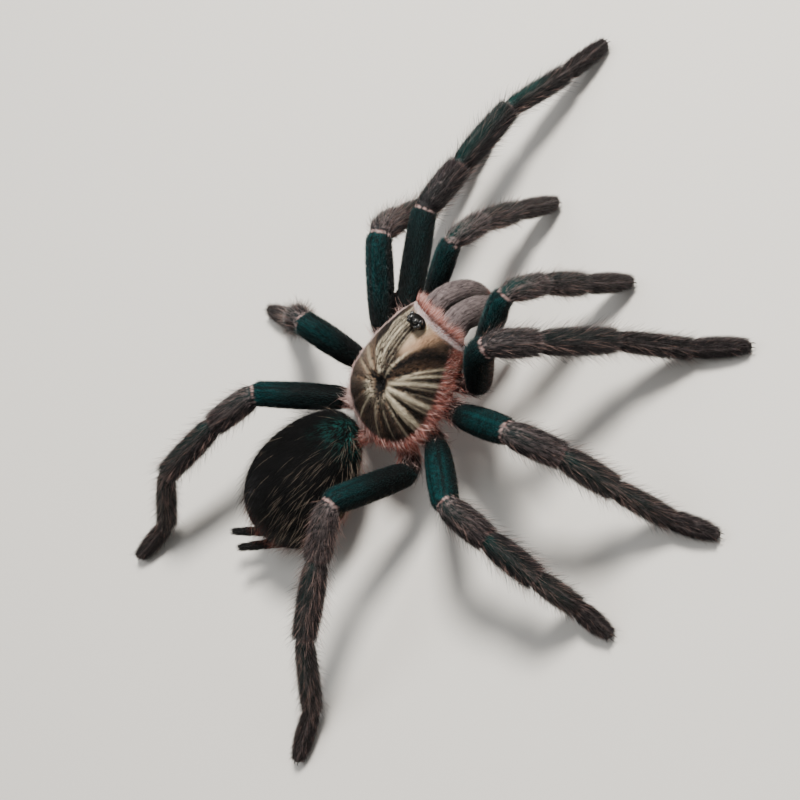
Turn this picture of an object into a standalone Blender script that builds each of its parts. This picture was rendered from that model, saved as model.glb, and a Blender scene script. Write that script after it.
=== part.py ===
"""Phormictopus tarantula at life size, a still model in a walking stance, as closed faceted solids.

The legs, palps and abdomen carry their long bristles as flat, bent locks that lie towards the feet
and the rear. The velvet below them is the surface of each node.

Metres, +Z up, +Y towards the head and +X to the animal's right. The origin is on the floor, below
the middle of the outer box. Every size below is in millimetres, and every angle in degrees.
"""

import math
import random

import bmesh
import bpy
from mathutils import Matrix, Quaternion, Vector
from mathutils.bvhtree import BVHTree

MM = 0.001
GAP = 0.3
MARGIN_GAP = 0.39

# The front body: where the middle of its margin stands, and how it tilts
BODY_HEIGHT = 14.7
BODY_PITCH = 11.4
BODY_ROLL = 3.6

# Carapace, in the body's own frame, whose origin is under the pit in its back
CARAPACE_HALF_WIDTH = 11.8
CARAPACE_REAR = 9.9
CARAPACE_FRONT = 15.7
CARAPACE_RISE = 5.2
CARAPACE_RIM = 1.2
CARAPACE_FRONT_TAPER = (3.6, 14.0, 1.7)  # loss of half width, over this length, and its power
CARAPACE_REAR_ROUNDNESS = 2.4
RIDGE_REAR_ROUNDNESS = (2.2, 0.75)
RIDGE_HUMP = 0.55
RIDGE_FRONT_DROP = (0.6, 6)
DOME_ROUNDNESS = (2.3, 0.62)
CARAPACE_SPOKES = 48
CARAPACE_RINGS = 9
GROOVE_ANGLES = (37.5, 67.5, 90.0, 112.5, 142.5)
GROOVE_WIDTH = 5.0
GROOVE_DEPTH = 0.6
GROOVE_REACH = 1.1  # the grooves fade out just short of the margin
GROOVE_FADE = 0.6
PIT_DEPTH = 1.0
PIT_RADIUS = 1.7

# The mound with the eight eyes: its middle and half sizes, then the eyes' radius and their places
# from its middle on the right side, in two rows
MOUND_MIDDLE = (0.0, 14.2, 7.0)
MOUND_HALF = (2.2, 1.3, 1.5)
EYE_RADIUS = 0.42
EYE_PLACES = ((0.55, 0.35, 1.2), (1.45, 0.75, 0.72), (1.6, -0.1, 0.75), (1.2, -0.75, 0.8))

# Breast plate
STERNUM_HALF_WIDTH = 4.4
STERNUM_HALF_LENGTH = 8.2
STERNUM_MIDDLE = 0.3
STERNUM_TOP = -0.4
STERNUM_BOTTOM = -5.6
STERNUM_STEPS = ((0.75, 1.0), (0.2, 0.9), (0.05, 0.67))  # share of the depth, then how far it draws in
STERNUM_SIDES = 20

# Chelicerae, each with a fang folded back under it
CHELICERA_PATH = (
    (2.95, 16.0, 0.5), (2.9, 18.2, 1.1), (2.8, 20.9, -1.5), (2.7, 21.9, -5.0), (2.65, 22.0, -8.2),
)
CHELICERA_HALF = ((2.75, 3.1), (2.7, 3.3), (2.6, 3.4), (2.35, 2.9), (1.7, 1.8))
FANG_PATH = ((2.65, 22.1, -8.95), (2.65, 21.4, -10.2), (2.55, 19.4, -11.0), (2.45, 17.2, -10.6))
FANG_RADIUS = (1.1, 0.9, 0.6, 0.15)

# Abdomen: an egg, its middle in the body's frame, its half sizes, and how it is turned
ABDOMEN_MIDDLE = (-5.2, -25.7, 2.1)
ABDOMEN_HALF = (11.5, 15.1, 8.9)
ABDOMEN_YAW = -1.0
ABDOMEN_PITCH = -1.4
ABDOMEN_EGG = 0.22
PEDICEL_PATH = ((0.0, -8.9, -2.5), (-0.3, -10.6, -1.6), (-1.8, -14.0, 0.4))
PEDICEL_RADIUS = 1.3
SPINNERET_LENGTH = 10.4
SPINNERET_RADIUS = 1.1
SPINNERET_MIDDLE = (2.0, 1.45, -2.35)  # across, ahead of the rear end, and up, in the abdomen's own frame
SPINNERET_APART = 1.6  # each root, to its side of the middle
SPINNERET_WAY = (-0.7, -0.75, 0.3)
SPINNERET_SPLAY = 0.08
SPINNERET_TAPER = ((0.0, 1.0), (0.5, 1.0), (0.88, 0.88), (1.0, 0.5))

# The legs: segment lengths from base to tip, and radii at the start, middle and end of each one
SEGMENTS = ("femur", "patella", "tibia", "metatarsus", "tarsus")
LEG_LENGTHS = {
    1: (19.7, 11.2, 15.4, 14.0, 10.6),
    2: (20.2, 10.2, 11.7, 11.9, 9.1),
    3: (16.4, 9.4, 10.9, 11.4, 7.8),
    4: (18.4, 10.8, 15.6, 17.0, 10.1),
}
LEG_RADII = {
    "femur": (2.5, 2.9, 2.6),
    "patella": (2.5, 2.75, 2.4),
    "tibia": (2.25, 2.55, 2.15),
    "metatarsus": (2.0, 2.15, 1.9),
    "tarsus": (1.85, 2.0, 1.65),
}
HIP = {1: (12.3, 10.8, -3.2), 2: (13.9, 4.8, -2.2), 3: (13.7, -2.6, -1.4), 4: (11.7, -10.3, -2.5)}
COXA_START = {1: (4.0, 6.2, -3.2), 2: (4.9, 2.5, -3.2), 3: (4.9, -1.9, -3.2), 4: (3.9, -5.7, -3.2)}
COXA_RADII = (1.8, 2.45)

# Heading of each segment, 0 ahead and 90 to the right, then its pitch above the floor.
# The tarsus takes its pitch from the height at which its tip rests.
LEG_POSE = {
    ("left", 1): ((-29, 14), (-13, -13), (-10, -13), (-1, -28), -2),
    ("left", 2): ((-25, 39), (-53, -53), (-27, -56), (-19, -18), -17),
    ("left", 3): ((-97, 63), (-104, -54), (-105, -51), (-106, -47), -106),
    ("left", 4): ((-136, 31), (-165, -1), (-169, -9), (-174, -48), -170),
    ("right", 1): ((38, 63), (27, -49), (28, -48), (43, -43), 47),
    ("right", 2): ((72, 34), (70, -22), (78, -55), (75, -53), 65),
    ("right", 3): ((109, 26), (86, -19), (85, -21), (91, -67), 85),
    ("right", 4): ((-178, 47), (157, -18), (157, -22), (157, -43), 158),
}
CORNER_RADII = (2.8, 3.2, 4.0, 3.5, 3.0)
TIP_HEIGHT = 1.35

# The palps, like short legs without a metatarsus
PALP_SEGMENTS = ("femur", "patella", "tibia", "tarsus")
PALP_LENGTHS = (15.4, 8.8, 10.3, 9.8)
PALP_RADII = {
    "femur": (1.9, 2.4, 2.25),
    "patella": (2.15, 2.4, 2.15),
    "tibia": (2.05, 2.3, 2.0),
    "tarsus": (1.9, 2.05, 1.65),
}
PALP_HIP = (8.5, 14.5, -3.4)
PALP_COXA_START = (2.9, 9.4, -4.6)
PALP_COXA_RADII = (1.6, 1.9)
PALP_POSE = {
    "left": ((3, 37), (-15, -40), (-16, -55), 4),
    "right": ((4, 38), (10, -46), (11, -62), 23),
}
PALP_CORNERS = (2.6, 2.8, 3.2, 2.6)

LEG_SIDES = 10
RING_SPACING = 2.4
COXA_RINGS = 4
TANGENT_REACH = 0.35
TIP_ROUNDING = ((0.5, 0.8), (0.8, 0.4))  # how far past the end, then how wide, as shares of the radius

# Each kind of limb: segments, corner radii, radii, coxa radii, and its nodes, each with the number
# of segments in it and the kind of locks it carries
LIMB_KINDS = {
    "leg": (
        SEGMENTS, CORNER_RADII, LEG_RADII, COXA_RADII,
        (
            ("femur", 1, None),
            ("patella_tibia", 2, "patella_tibia"),
            ("metatarsus_tarsus", 2, "metatarsus_tarsus"),
        ),
    ),
    "palp": (
        PALP_SEGMENTS, PALP_CORNERS, PALP_RADII, PALP_COXA_RADII,
        (
            ("femur", 1, None),
            ("patella_tibia", 2, "palp_patella_tibia"),
            ("tarsus", 1, "palp_tarsus"),
        ),
    ),
}

# Locks of long bristles on each node that has them: how many, then their length and half width
LOCKS = {
    "patella_tibia": (12, 5.2, 1.0),
    "metatarsus_tarsus": (9, 4.0, 0.85),
    "palp_patella_tibia": (7, 4.0, 0.85),
    "palp_tarsus": (4, 2.8, 0.7),
    "abdomen": (60, 7.2, 1.05),
}
LOCK_THICKNESS = 0.55
LOCK_SINK = 1.1
LOCK_LEAN = {"limb": (40, 12), "abdomen": (30, 6)}  # above the surface, at the root and at the tip
LOCK_STEPS = ((0.42, 1.0), (0.78, 0.6), (1.0, 0.0))  # share of the length, then of the half width
LOCK_SPREAD = 0.15  # how far each lock's length and width vary, as a share
LOCK_SIDES = 4
LOCK_SEED = 11
GOLDEN_ANGLE = math.pi * (3 - math.sqrt(5))
REAR_BARE = 0.93  # locks leave the abdomen's two ends bare, past this cosine to its length
SIDE_SIGN = {"left": -1, "right": 1}


def smooth_between(first, middle, last, share):
    """A parabola through three values, at a share from 0 to 1 of the way."""
    return (
        first * (1 - share) * (1 - 2 * share)
        + middle * 4 * share * (1 - share)
        + last * share * (2 * share - 1)
    )


def heading_and_pitch(heading, pitch):
    """The unit vector of a heading on the floor and a pitch above it."""
    flat = math.cos(math.radians(pitch))
    turn = math.radians(heading)
    return Vector((math.sin(turn) * flat, math.cos(turn) * flat, math.sin(math.radians(pitch))))


def body_matrix():
    """Places the front body's own frame over the floor, in millimetres."""
    pitch = Matrix.Rotation(math.radians(BODY_PITCH), 4, "X")
    roll = Matrix.Rotation(math.radians(-BODY_ROLL), 4, "Y")
    return Matrix.Translation((0, 0, BODY_HEIGHT)) @ pitch @ roll


def finish(name, colour, roughness, metallic=0.0):
    """A Principled material."""
    material = bpy.data.materials.new(name)
    material.use_nodes = True
    shader = material.node_tree.nodes["Principled BSDF"]
    shader.inputs["Base Color"].default_value = (*colour, 1.0)
    shader.inputs["Roughness"].default_value = roughness
    shader.inputs["Metallic"].default_value = metallic
    return material


def add_object(name, bm, material, parent=None):
    """Makes an object of a mesh in millimetres, facing outwards and shaded smooth."""
    bmesh.ops.recalc_face_normals(bm, faces=bm.faces)
    bmesh.ops.scale(bm, vec=(MM, MM, MM), verts=bm.verts)
    mesh = bpy.data.meshes.new(name)
    bm.to_mesh(mesh)
    bm.free()
    mesh.materials.append(material)
    mesh.shade_smooth()
    mesh.set_sharp_from_angle(angle=math.radians(50))
    piece = bpy.data.objects.new(name, mesh)
    bpy.context.scene.collection.objects.link(piece)
    piece.parent = parent
    return piece


def add_cutter(name, bm, parent=None):
    """A helper solid that only cuts its neighbours."""
    cutter = add_object(name, bm, finish(name, (0.5, 0.5, 0.5), 0.5), parent)
    cutter.hide_render = True
    cutter.display_type = "WIRE"
    return cutter


def fuse(piece, others):
    """Joins closed pieces to one by a Boolean union, and keeps its largest closed surface."""
    group = bpy.data.collections.new(piece.name + "_others")
    bpy.context.scene.collection.children.link(group)
    for other in others:
        bpy.context.scene.collection.objects.unlink(other)
        group.objects.link(other)
    union = piece.modifiers.new("Union", "BOOLEAN")
    union.operation = "UNION"
    union.operand_type = "COLLECTION"
    union.collection = group
    union.solver = "EXACT"
    bpy.context.view_layer.update()
    evaluated = piece.evaluated_get(bpy.context.evaluated_depsgraph_get())
    bm = bmesh.new()
    bm.from_mesh(evaluated.to_mesh())
    keep_largest_shell(bm)
    piece.modifiers.clear()
    bm.to_mesh(piece.data)
    bm.free()
    for other in others:
        bpy.data.objects.remove(other)
    bpy.data.collections.remove(group)


def keep_largest_shell(bm):
    """Deletes every closed surface but the largest."""
    left = dict.fromkeys(bm.verts)
    shells = []
    while left:
        front = [next(iter(left))]
        del left[front[0]]
        shell = []
        while front:
            vert = front.pop()
            shell.append(vert)
            for edge in vert.link_edges:
                other = edge.other_vert(vert)
                if other in left:
                    del left[other]
                    front.append(other)
        shells.append(shell)
    shells.sort(key=len)
    for shell in shells[:-1]:
        bmesh.ops.delete(bm, geom=shell, context="VERTS")


def cut_with(piece, cutter):
    """Cuts a helper's shape out of a piece."""
    cut = piece.modifiers.new("Clear of " + cutter.name, "BOOLEAN")
    cut.operation = "DIFFERENCE"
    cut.object = cutter
    cut.solver = "EXACT"


def ring_matrix(centre, tangent, half_width, half_height, above=Vector((0, 0, 1))):
    """The place, turn and size of one ring of a sweep, level across where it can be."""
    side = tangent.cross(above)
    if side.length < 1e-4:
        side = Vector((1, 0, 0))
    side.normalize()
    up = side.cross(tangent).normalized()
    place = Matrix.Identity(4)
    for row in range(3):
        place[row][0] = side[row] * half_width
        place[row][1] = up[row] * half_height
        place[row][2] = tangent[row]
        place[row][3] = centre[row]
    return place


def first_ring(bm, sides):
    """Starts a skin with an open ring of edges of radius 1."""
    bmesh.ops.create_circle(bm, cap_ends=False, segments=sides, radius=1.0)
    return list(bm.edges)


def next_ring(bm, ring):
    """Extrudes an open ring of edges, and returns the new ring and its points."""
    made = bmesh.ops.extrude_edge_only(bm, edges=ring)["geom"]
    verts = [part for part in made if isinstance(part, bmesh.types.BMVert)]
    edges = [part for part in made if isinstance(part, bmesh.types.BMEdge) and part.is_boundary]
    return edges, verts


def close_ends(bm):
    """Fills each open ring with one flat face."""
    bmesh.ops.holes_fill(bm, edges=list(bm.edges), sides=0)


def sweep(stations, sides, pointed=False):
    """Extrudes a ring through its stations: centre, tangent, half width and half height."""
    bm = bmesh.new()
    ring = first_ring(bm, sides)
    last = ring_matrix(*stations[0])
    bmesh.ops.transform(bm, matrix=last, verts=bm.verts)
    for station in stations[1:]:
        ring, verts = next_ring(bm, ring)
        place = ring_matrix(*station)
        bmesh.ops.transform(bm, matrix=place @ last.inverted(), verts=verts)
        last = place
    if pointed:
        bmesh.ops.pointmerge(bm, verts=verts, merge_co=Vector(stations[-1][0]))
    close_ends(bm)
    return bm


def rounded_path(points, radii):
    """Samples a path of straight runs with round corners, and marks how far along each corner is."""
    samples = [points[0]]
    marks = []
    travelled = 0.0
    for before, corner, after, radius in zip(points, points[1:], points[2:], radii):
        arrive = (corner - before).normalized()
        leave = (after - corner).normalized()
        turn = arrive.angle(leave)
        cut = radius * math.tan(turn / 2)
        start = corner - arrive * cut
        middle = corner + (leave - arrive).normalized() * radius / math.cos(turn / 2)
        axis = arrive.cross(leave).normalized()
        steps = 2 * max(1, round(turn * radius))
        arc = [middle + Quaternion(axis, turn * i / steps) @ (start - middle) for i in range(steps + 1)]
        travelled += (start - samples[-1]).length
        marks.append(travelled + sum((b - a).length for a, b in zip(arc, arc[1:])) / 2)
        travelled += sum((b - a).length for a, b in zip(arc, arc[1:]))
        samples += arc
    travelled += (points[-1] - samples[-1]).length
    samples.append(points[-1])
    marks.append(travelled)
    return samples, marks


def point_at(samples, distance):
    """The point at a distance along sampled points, running on straight past either end."""
    left = distance
    for a, b in zip(samples, samples[1:]):
        run = (b - a).length
        if left <= run or b is samples[-1]:
            return a + (b - a).normalized() * left
        left -= run
    return samples[-1]


def frame_at(samples, distance):
    """The point and the tangent at a distance along sampled points."""
    tangent = point_at(samples, distance + TANGENT_REACH) - point_at(samples, distance - TANGENT_REACH)
    return point_at(samples, distance), tangent.normalized()


def limb_points(start, hip, headings, lengths):
    """The corners of a limb, from inside its coxa to its tip, whose last run ends at TIP_HEIGHT."""
    points = [start, hip]
    for (heading, pitch), length in zip(headings[:-1], lengths):
        points.append(points[-1] + heading_and_pitch(heading, pitch) * length)
    pitch = -math.degrees(math.asin((points[-1].z - TIP_HEIGHT) / lengths[-1]))
    points.append(points[-1] + heading_and_pitch(headings[-1], pitch) * lengths[-1])
    return points


def limb_radius(marks, segments, radii, distance):
    """A limb's radius at a distance along it."""
    segment = 0
    while segment < len(segments) - 1 and distance > marks[segment + 1]:
        segment += 1
    share = (distance - marks[segment]) / (marks[segment + 1] - marks[segment])
    return smooth_between(*radii[segments[segment]], share)


def limb_stations(samples, marks, segments, radii, first, last):
    """The rings of one node, from the mark before its first segment to the mark after its last."""
    is_tip = last == len(segments)
    start = marks[first] + GAP / 2
    end = marks[last] - (0 if is_tip else GAP / 2)
    count = max(2, round((end - start) / RING_SPACING))
    stations = []
    for i in range(count + 1):
        distance = start + (end - start) * i / count
        centre, tangent = frame_at(samples, distance)
        radius = limb_radius(marks, segments, radii, distance)
        stations.append((centre, tangent, radius, radius))
    stations[0] = (stations[0][0], frame_at(samples, marks[first])[1], *stations[0][2:])
    if not is_tip:
        stations[-1] = (stations[-1][0], frame_at(samples, marks[last])[1], *stations[-1][2:])
    if is_tip:
        centre, tangent, radius, _ = stations[-1]
        for past, size in TIP_ROUNDING:
            stations.append((centre + tangent * radius * past, tangent, radius * size, radius * size))
    return stations


def flatten_on_floor(bm):
    """Cuts off what reaches below the floor, which leaves a small flat."""
    bmesh.ops.bisect_plane(
        bm,
        geom=list(bm.verts) + list(bm.edges) + list(bm.faces),
        plane_co=(0, 0, 0),
        plane_no=(0, 0, -1),
        clear_outer=True,
    )
    close_ends(bm)


def lock_roots(samples, marks, segments, radii, first, last, kind, draw):
    """Where a node's locks grow: spot, outward way, lie, length and half width, round and along it."""
    count, length, half_width = LOCKS[kind]
    start = marks[first] + GAP + half_width
    end = marks[last] - length * math.cos(math.radians(LOCK_LEAN["limb"][1]))
    if last == len(segments):
        end += length / 3
    roots = []
    for i in range(count):
        distance = start + (end - start) * (i + draw.uniform(0.2, 0.8)) / count
        centre, tangent = frame_at(samples, distance)
        turn = i * GOLDEN_ANGLE + draw.uniform(-0.3, 0.3)
        place = ring_matrix(centre, tangent, 1.0, 1.0).to_3x3()
        outward = place @ Vector((math.cos(turn), math.sin(turn), 0.0))
        spot = centre + outward * limb_radius(marks, segments, radii, distance)
        size = draw.uniform(1 - LOCK_SPREAD, 1 + LOCK_SPREAD)
        roots.append((spot, outward, tangent, length * size, half_width * size))
    return roots


def add_limb(name, points, kind, materials, parent, clear, draw):
    """Builds a limb's coxa and then its nodes along one rounded path, and plans their locks."""
    segments, corners, radii, coxa_radii, nodes = LIMB_KINDS[kind]
    samples, marks = rounded_path(points, corners)
    length = marks[0]
    stations = []
    for i in range(COXA_RINGS):
        distance = (length - GAP / 2) * i / (COXA_RINGS - 1)
        centre, tangent = frame_at(samples, distance)
        radius = coxa_radii[0] + (coxa_radii[1] - coxa_radii[0]) * distance / length
        stations.append((centre, tangent, radius, radius))
    stations[-1] = (stations[-1][0], frame_at(samples, length)[1], *stations[-1][2:])
    coxa = add_object(name + "_coxa", sweep(stations, LEG_SIDES), materials["coxa"], parent)
    cut_with(coxa, clear)
    first = 0
    planned = []
    for label, count, locks in nodes:
        last = first + count
        bm = sweep(limb_stations(samples, marks, segments, radii, first, last), LEG_SIDES)
        if last == len(segments):
            flatten_on_floor(bm)
        piece = add_object(name + "_" + label, bm, materials[label], parent)
        if first == 0:
            cut_with(piece, clear)
        if locks:
            planned.append((piece, lock_roots(samples, marks, segments, radii, first, last, locks, draw)))
        first = last
    return planned


def margin_half_width(y):
    """Half the carapace's width at a distance ahead of its pit."""
    if y < 0:
        return CARAPACE_HALF_WIDTH * math.sqrt(max(0.0, 1 - (-y / CARAPACE_REAR) ** CARAPACE_REAR_ROUNDNESS))
    loss, length, power = CARAPACE_FRONT_TAPER
    return CARAPACE_HALF_WIDTH - loss * (y / length) ** power


def margin_reach(angle):
    """How far the margin is from the pit, at an angle from straight ahead."""
    ahead = math.cos(angle)
    across = math.sin(angle)
    near = 0.0
    far = 40.0
    for _ in range(40):
        reach = (near + far) / 2
        y = reach * ahead
        inside = -CARAPACE_REAR < y < CARAPACE_FRONT and abs(reach * across) < margin_half_width(y)
        if inside:
            near = reach
        else:
            far = reach
    return near


def ridge_height(y):
    """The height of the carapace's middle line above its rim."""
    if y < 0:
        inner, outer = RIDGE_REAR_ROUNDNESS
        return CARAPACE_RISE * max(0.0, 1 - (-y / CARAPACE_REAR) ** inner) ** outer
    share = y / CARAPACE_FRONT
    drop, power = RIDGE_FRONT_DROP
    return CARAPACE_RISE + RIDGE_HUMP * math.sin(math.pi * min(share, 1.0)) - drop * share**power


def groove(angle, share):
    """The depth of the grooves that run out from the pit."""
    away = math.degrees(abs(math.remainder(angle, 2 * math.pi)))
    depth = sum(math.exp(-(((away - middle) / GROOVE_WIDTH) ** 2)) for middle in GROOVE_ANGLES)
    return GROOVE_DEPTH * depth * math.sin(math.pi * min(1.0, share * GROOVE_REACH)) ** GROOVE_FADE


def carapace_point(angle, share):
    """A point of the carapace's back, at an angle from straight ahead and a share of the way out."""
    reach = margin_reach(angle) * share
    x = reach * math.sin(angle)
    y = reach * math.cos(angle)
    across = min(1.0, abs(x) / max(margin_half_width(y), 0.01))
    inner, outer = DOME_ROUNDNESS
    height = CARAPACE_RIM + ridge_height(y) * (1 - across**inner) ** outer
    height -= groove(angle, share) * (1 if share < 1 else 0)
    height -= PIT_DEPTH * math.exp(-((reach / PIT_RADIUS) ** 2))
    return Vector((x, y, max(height, CARAPACE_RIM)))


def add_carapace(material, parent):
    """The back shield: rings from the margin in to the pit."""
    bm = bmesh.new()
    ring = first_ring(bm, CARAPACE_SPOKES)
    for vert in bm.verts:
        vert.co = carapace_point(math.atan2(vert.co.x, vert.co.y), 1.0)
        vert.co.z = 0.0
    for step in range(CARAPACE_RINGS):
        share = 1 - step / CARAPACE_RINGS
        ring, verts = next_ring(bm, ring)
        for vert in verts:
            vert.co = carapace_point(math.atan2(vert.co.x, vert.co.y), share)
    bmesh.ops.pointmerge(bm, verts=verts, merge_co=carapace_point(0.0, 0.0))
    close_ends(bm)
    return add_object("carapace", bm, material, parent)


def carapace_clearance(parent):
    """The carapace's outline grown by the gap, upright, to cut the limbs clear of it."""
    bm = bmesh.new()
    ring = first_ring(bm, CARAPACE_SPOKES)
    for vert in bm.verts:
        angle = math.atan2(vert.co.x, vert.co.y)
        vert.co = carapace_point(angle, 1.0)
        vert.co += Vector((math.sin(angle), math.cos(angle), 0)) * MARGIN_GAP
        vert.co.z = -GAP
    ring, verts = next_ring(bm, ring)
    bmesh.ops.translate(bm, verts=verts, vec=(0, 0, CARAPACE_RISE))
    close_ends(bm)
    return add_cutter("carapace_clearance", bm, parent)


def ellipsoid(middle, half, rings=8, sides=12):
    """A ball stretched to its half sizes."""
    bm = bmesh.new()
    bmesh.ops.create_uvsphere(bm, u_segments=sides, v_segments=rings, radius=1.0)
    bmesh.ops.scale(bm, vec=half, verts=bm.verts)
    bmesh.ops.translate(bm, vec=middle, verts=bm.verts)
    return bm


def add_eyes(material, parent):
    """The mound with its eight eyes, in two rows."""
    middle = Vector(MOUND_MIDDLE)
    mound = add_object("eye_mound", ellipsoid(middle, MOUND_HALF, 8, 16), material, parent)
    eyes = []
    for sign in SIDE_SIGN.values():
        for place in mirrored(EYE_PLACES, sign):
            bm = ellipsoid(middle + Vector(place), (EYE_RADIUS, EYE_RADIUS, EYE_RADIUS), 6, 8)
            eyes.append(add_object("eye", bm, material, parent))
    fuse(mound, eyes)


def add_sternum(material, parent):
    """The breast plate, a thick oval with a rounded underside."""
    bm = bmesh.new()
    ring = first_ring(bm, STERNUM_SIDES)
    bmesh.ops.scale(bm, vec=(STERNUM_HALF_WIDTH, STERNUM_HALF_LENGTH, 1), verts=bm.verts)
    bmesh.ops.translate(bm, vec=(0, 0, STERNUM_TOP), verts=bm.verts)
    for depth, draw_in in STERNUM_STEPS:
        ring, verts = next_ring(bm, ring)
        bmesh.ops.scale(bm, vec=(draw_in, draw_in, 1), verts=verts)
        bmesh.ops.translate(bm, vec=(0, 0, (STERNUM_BOTTOM - STERNUM_TOP) * depth), verts=verts)
    bmesh.ops.translate(bm, vec=(0, STERNUM_MIDDLE, 0), verts=bm.verts)
    close_ends(bm)
    return add_object("sternum", bm, material, parent)


def path_stations(path, halves):
    """Rings at a short path's own points, each square to the way through it."""
    points = [Vector(point) for point in path]
    stations = []
    for i, (point, half) in enumerate(zip(points, halves)):
        before = points[max(i - 1, 0)]
        after = points[min(i + 1, len(points) - 1)]
        width, height = half if isinstance(half, tuple) else (half, half)
        stations.append((point, (after - before).normalized(), width, height))
    return stations


def mirrored(path, sign):
    """The path on the left for -1, or as it is for 1."""
    return [(x * sign, y, z) for x, y, z in path]


def add_jaws(materials, parent):
    """Each chelicera, from the front of the carapace down, and its fang."""
    for side, sign in SIDE_SIGN.items():
        stations = path_stations(mirrored(CHELICERA_PATH, sign), CHELICERA_HALF)
        centre, _, width, height = stations[0]
        stations[0] = (centre, Vector((0, 1, 0)), width, height)
        add_object(side + "_chelicera", sweep(stations, 14), materials["chelicera"], parent)
        stations = path_stations(mirrored(FANG_PATH, sign), FANG_RADIUS)
        add_object(side + "_fang", sweep(stations, 8), materials["fang"], parent)


def abdomen_matrix():
    """The abdomen's place and turn in the body's frame."""
    turn = Matrix.Rotation(math.radians(ABDOMEN_YAW), 4, "Z")
    return Matrix.Translation(ABDOMEN_MIDDLE) @ turn @ Matrix.Rotation(math.radians(ABDOMEN_PITCH), 4, "X")


def add_abdomen(material, parent):
    """The abdomen's egg, broader behind."""
    bm = bmesh.new()
    bmesh.ops.create_uvsphere(bm, u_segments=22, v_segments=16, radius=1.0)
    bmesh.ops.rotate(bm, matrix=Matrix.Rotation(math.radians(90), 3, "X"), verts=bm.verts)
    for vert in bm.verts:
        broad = 1 - ABDOMEN_EGG * vert.co.y
        vert.co.x *= broad
        vert.co.z *= broad
    bmesh.ops.scale(bm, vec=ABDOMEN_HALF, verts=bm.verts)
    bmesh.ops.transform(bm, matrix=abdomen_matrix(), verts=bm.verts)
    return add_object("abdomen", bm, material, parent)


def add_pedicel(material, parent):
    """The narrow waist, and the cutter of the pocket that lets it into the abdomen."""
    radii = (PEDICEL_RADIUS,) * len(PEDICEL_PATH)
    add_object("pedicel", sweep(path_stations(PEDICEL_PATH, radii), 10), material, parent)
    stations = path_stations(PEDICEL_PATH, (PEDICEL_RADIUS + GAP,) * len(PEDICEL_PATH))
    centre, tangent, width, height = stations[-1]
    stations[-1] = (centre + tangent * GAP, tangent, width, height)
    return add_cutter("pedicel_pocket", sweep(stations, 10), parent)


def add_spinnerets(material, parent):
    """Two fingers that point back, up and to the left from the abdomen's rear end, and their cutters."""
    place = abdomen_matrix()
    cutters = []
    for side, sign in SIDE_SIGN.items():
        across, ahead, up = SPINNERET_MIDDLE
        root = place @ Vector((across + sign * SPINNERET_APART, ahead - ABDOMEN_HALF[1], up))
        way = Vector(SPINNERET_WAY) + Vector((sign * SPINNERET_SPLAY, 0, 0))
        way = (place.to_3x3() @ way).normalized()
        stations = []
        for share, size in SPINNERET_TAPER:
            radius = SPINNERET_RADIUS * size
            stations.append((root + way * SPINNERET_LENGTH * share, way, radius, radius))
        add_object(side + "_spinneret", sweep(stations, 8), material, parent)
        pocket = [(centre, tangent, w + GAP, h + GAP) for centre, tangent, w, h in stations]
        pocket[0] = (root - way * GAP, way, SPINNERET_RADIUS + GAP, SPINNERET_RADIUS + GAP)
        cutters.append(add_cutter(side + "_spinneret_pocket", sweep(pocket, 8), parent))
    return cutters


def add_legs(materials, parent, clear, draw):
    """Eight legs, each a coxa, a femur, a patella with its tibia, and a metatarsus with its foot."""
    place = body_matrix()
    planned = []
    for (side, number), headings in LEG_POSE.items():
        ends = mirrored((COXA_START[number], HIP[number]), SIDE_SIGN[side])
        start, hip = [place @ Vector(end) for end in ends]
        points = limb_points(start, hip, headings, LEG_LENGTHS[number])
        name = side + "_leg_" + str(number)
        planned += add_limb(name, points, "leg", materials, parent, clear, draw)
    return planned


def add_palps(materials, parent, clear, draw):
    """Two palps beside the chelicerae."""
    place = body_matrix()
    planned = []
    for side, headings in PALP_POSE.items():
        start, hip = [place @ Vector(end) for end in mirrored((PALP_COXA_START, PALP_HIP), SIDE_SIGN[side])]
        points = limb_points(start, hip, headings, PALP_LENGTHS)
        planned += add_limb(side + "_palp", points, "palp", materials, parent, clear, draw)
    return planned


def abdomen_roots(draw):
    """Where the abdomen's locks grow, spread evenly over it, their lie towards its rear end."""
    place = abdomen_matrix()
    turn = place.to_3x3()
    count, length, half_width = LOCKS["abdomen"]
    roots = []
    for i in range(count):
        along = 1 - 2 * (i + 0.5) / count
        if abs(along) > REAR_BARE:
            continue
        around = i * GOLDEN_ANGLE + draw.uniform(-0.15, 0.15)
        across = math.sqrt(1 - along * along)
        unit = Vector((across * math.sin(around), along, across * math.cos(around)))
        broad = 1 - ABDOMEN_EGG * along
        spot = Vector([value * half for value, half in zip(unit, ABDOMEN_HALF)])
        spot.x *= broad
        spot.z *= broad
        outward = Vector([value / half for value, half in zip(unit, ABDOMEN_HALF)]).normalized()
        lie = Vector((0, -1, 0))
        lie = (lie - outward * outward.dot(lie)).normalized()
        size = draw.uniform(1 - LOCK_SPREAD, 1 + LOCK_SPREAD)
        roots.append((place @ spot, turn @ outward, turn @ lie, length * size, half_width * size))
    return roots


def lock_mesh(root, lean, grown=0.0):
    """One flat lock that leaves its node and bends over along the lie, drawn out to a fine tip."""
    spot, outward, lie, length, half_width = root
    way = lie * math.cos(math.radians(lean[0])) + outward * math.sin(math.radians(lean[0]))
    point = spot - way * LOCK_SINK
    thick = LOCK_THICKNESS / 2 + grown
    stations = [(point, way, half_width + grown, thick, outward)]
    point = spot
    travelled = 0.0
    for share, size in LOCK_STEPS:
        angle = math.radians(lean[0] + (lean[1] - lean[0]) * share)
        way = lie * math.cos(angle) + outward * math.sin(angle)
        point = point + way * ((share - travelled) * length + grown * share)
        stations.append((point, way, half_width * size + grown, thick, outward))
        travelled = share
    return sweep(stations, LOCK_SIDES, pointed=True)


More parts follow.
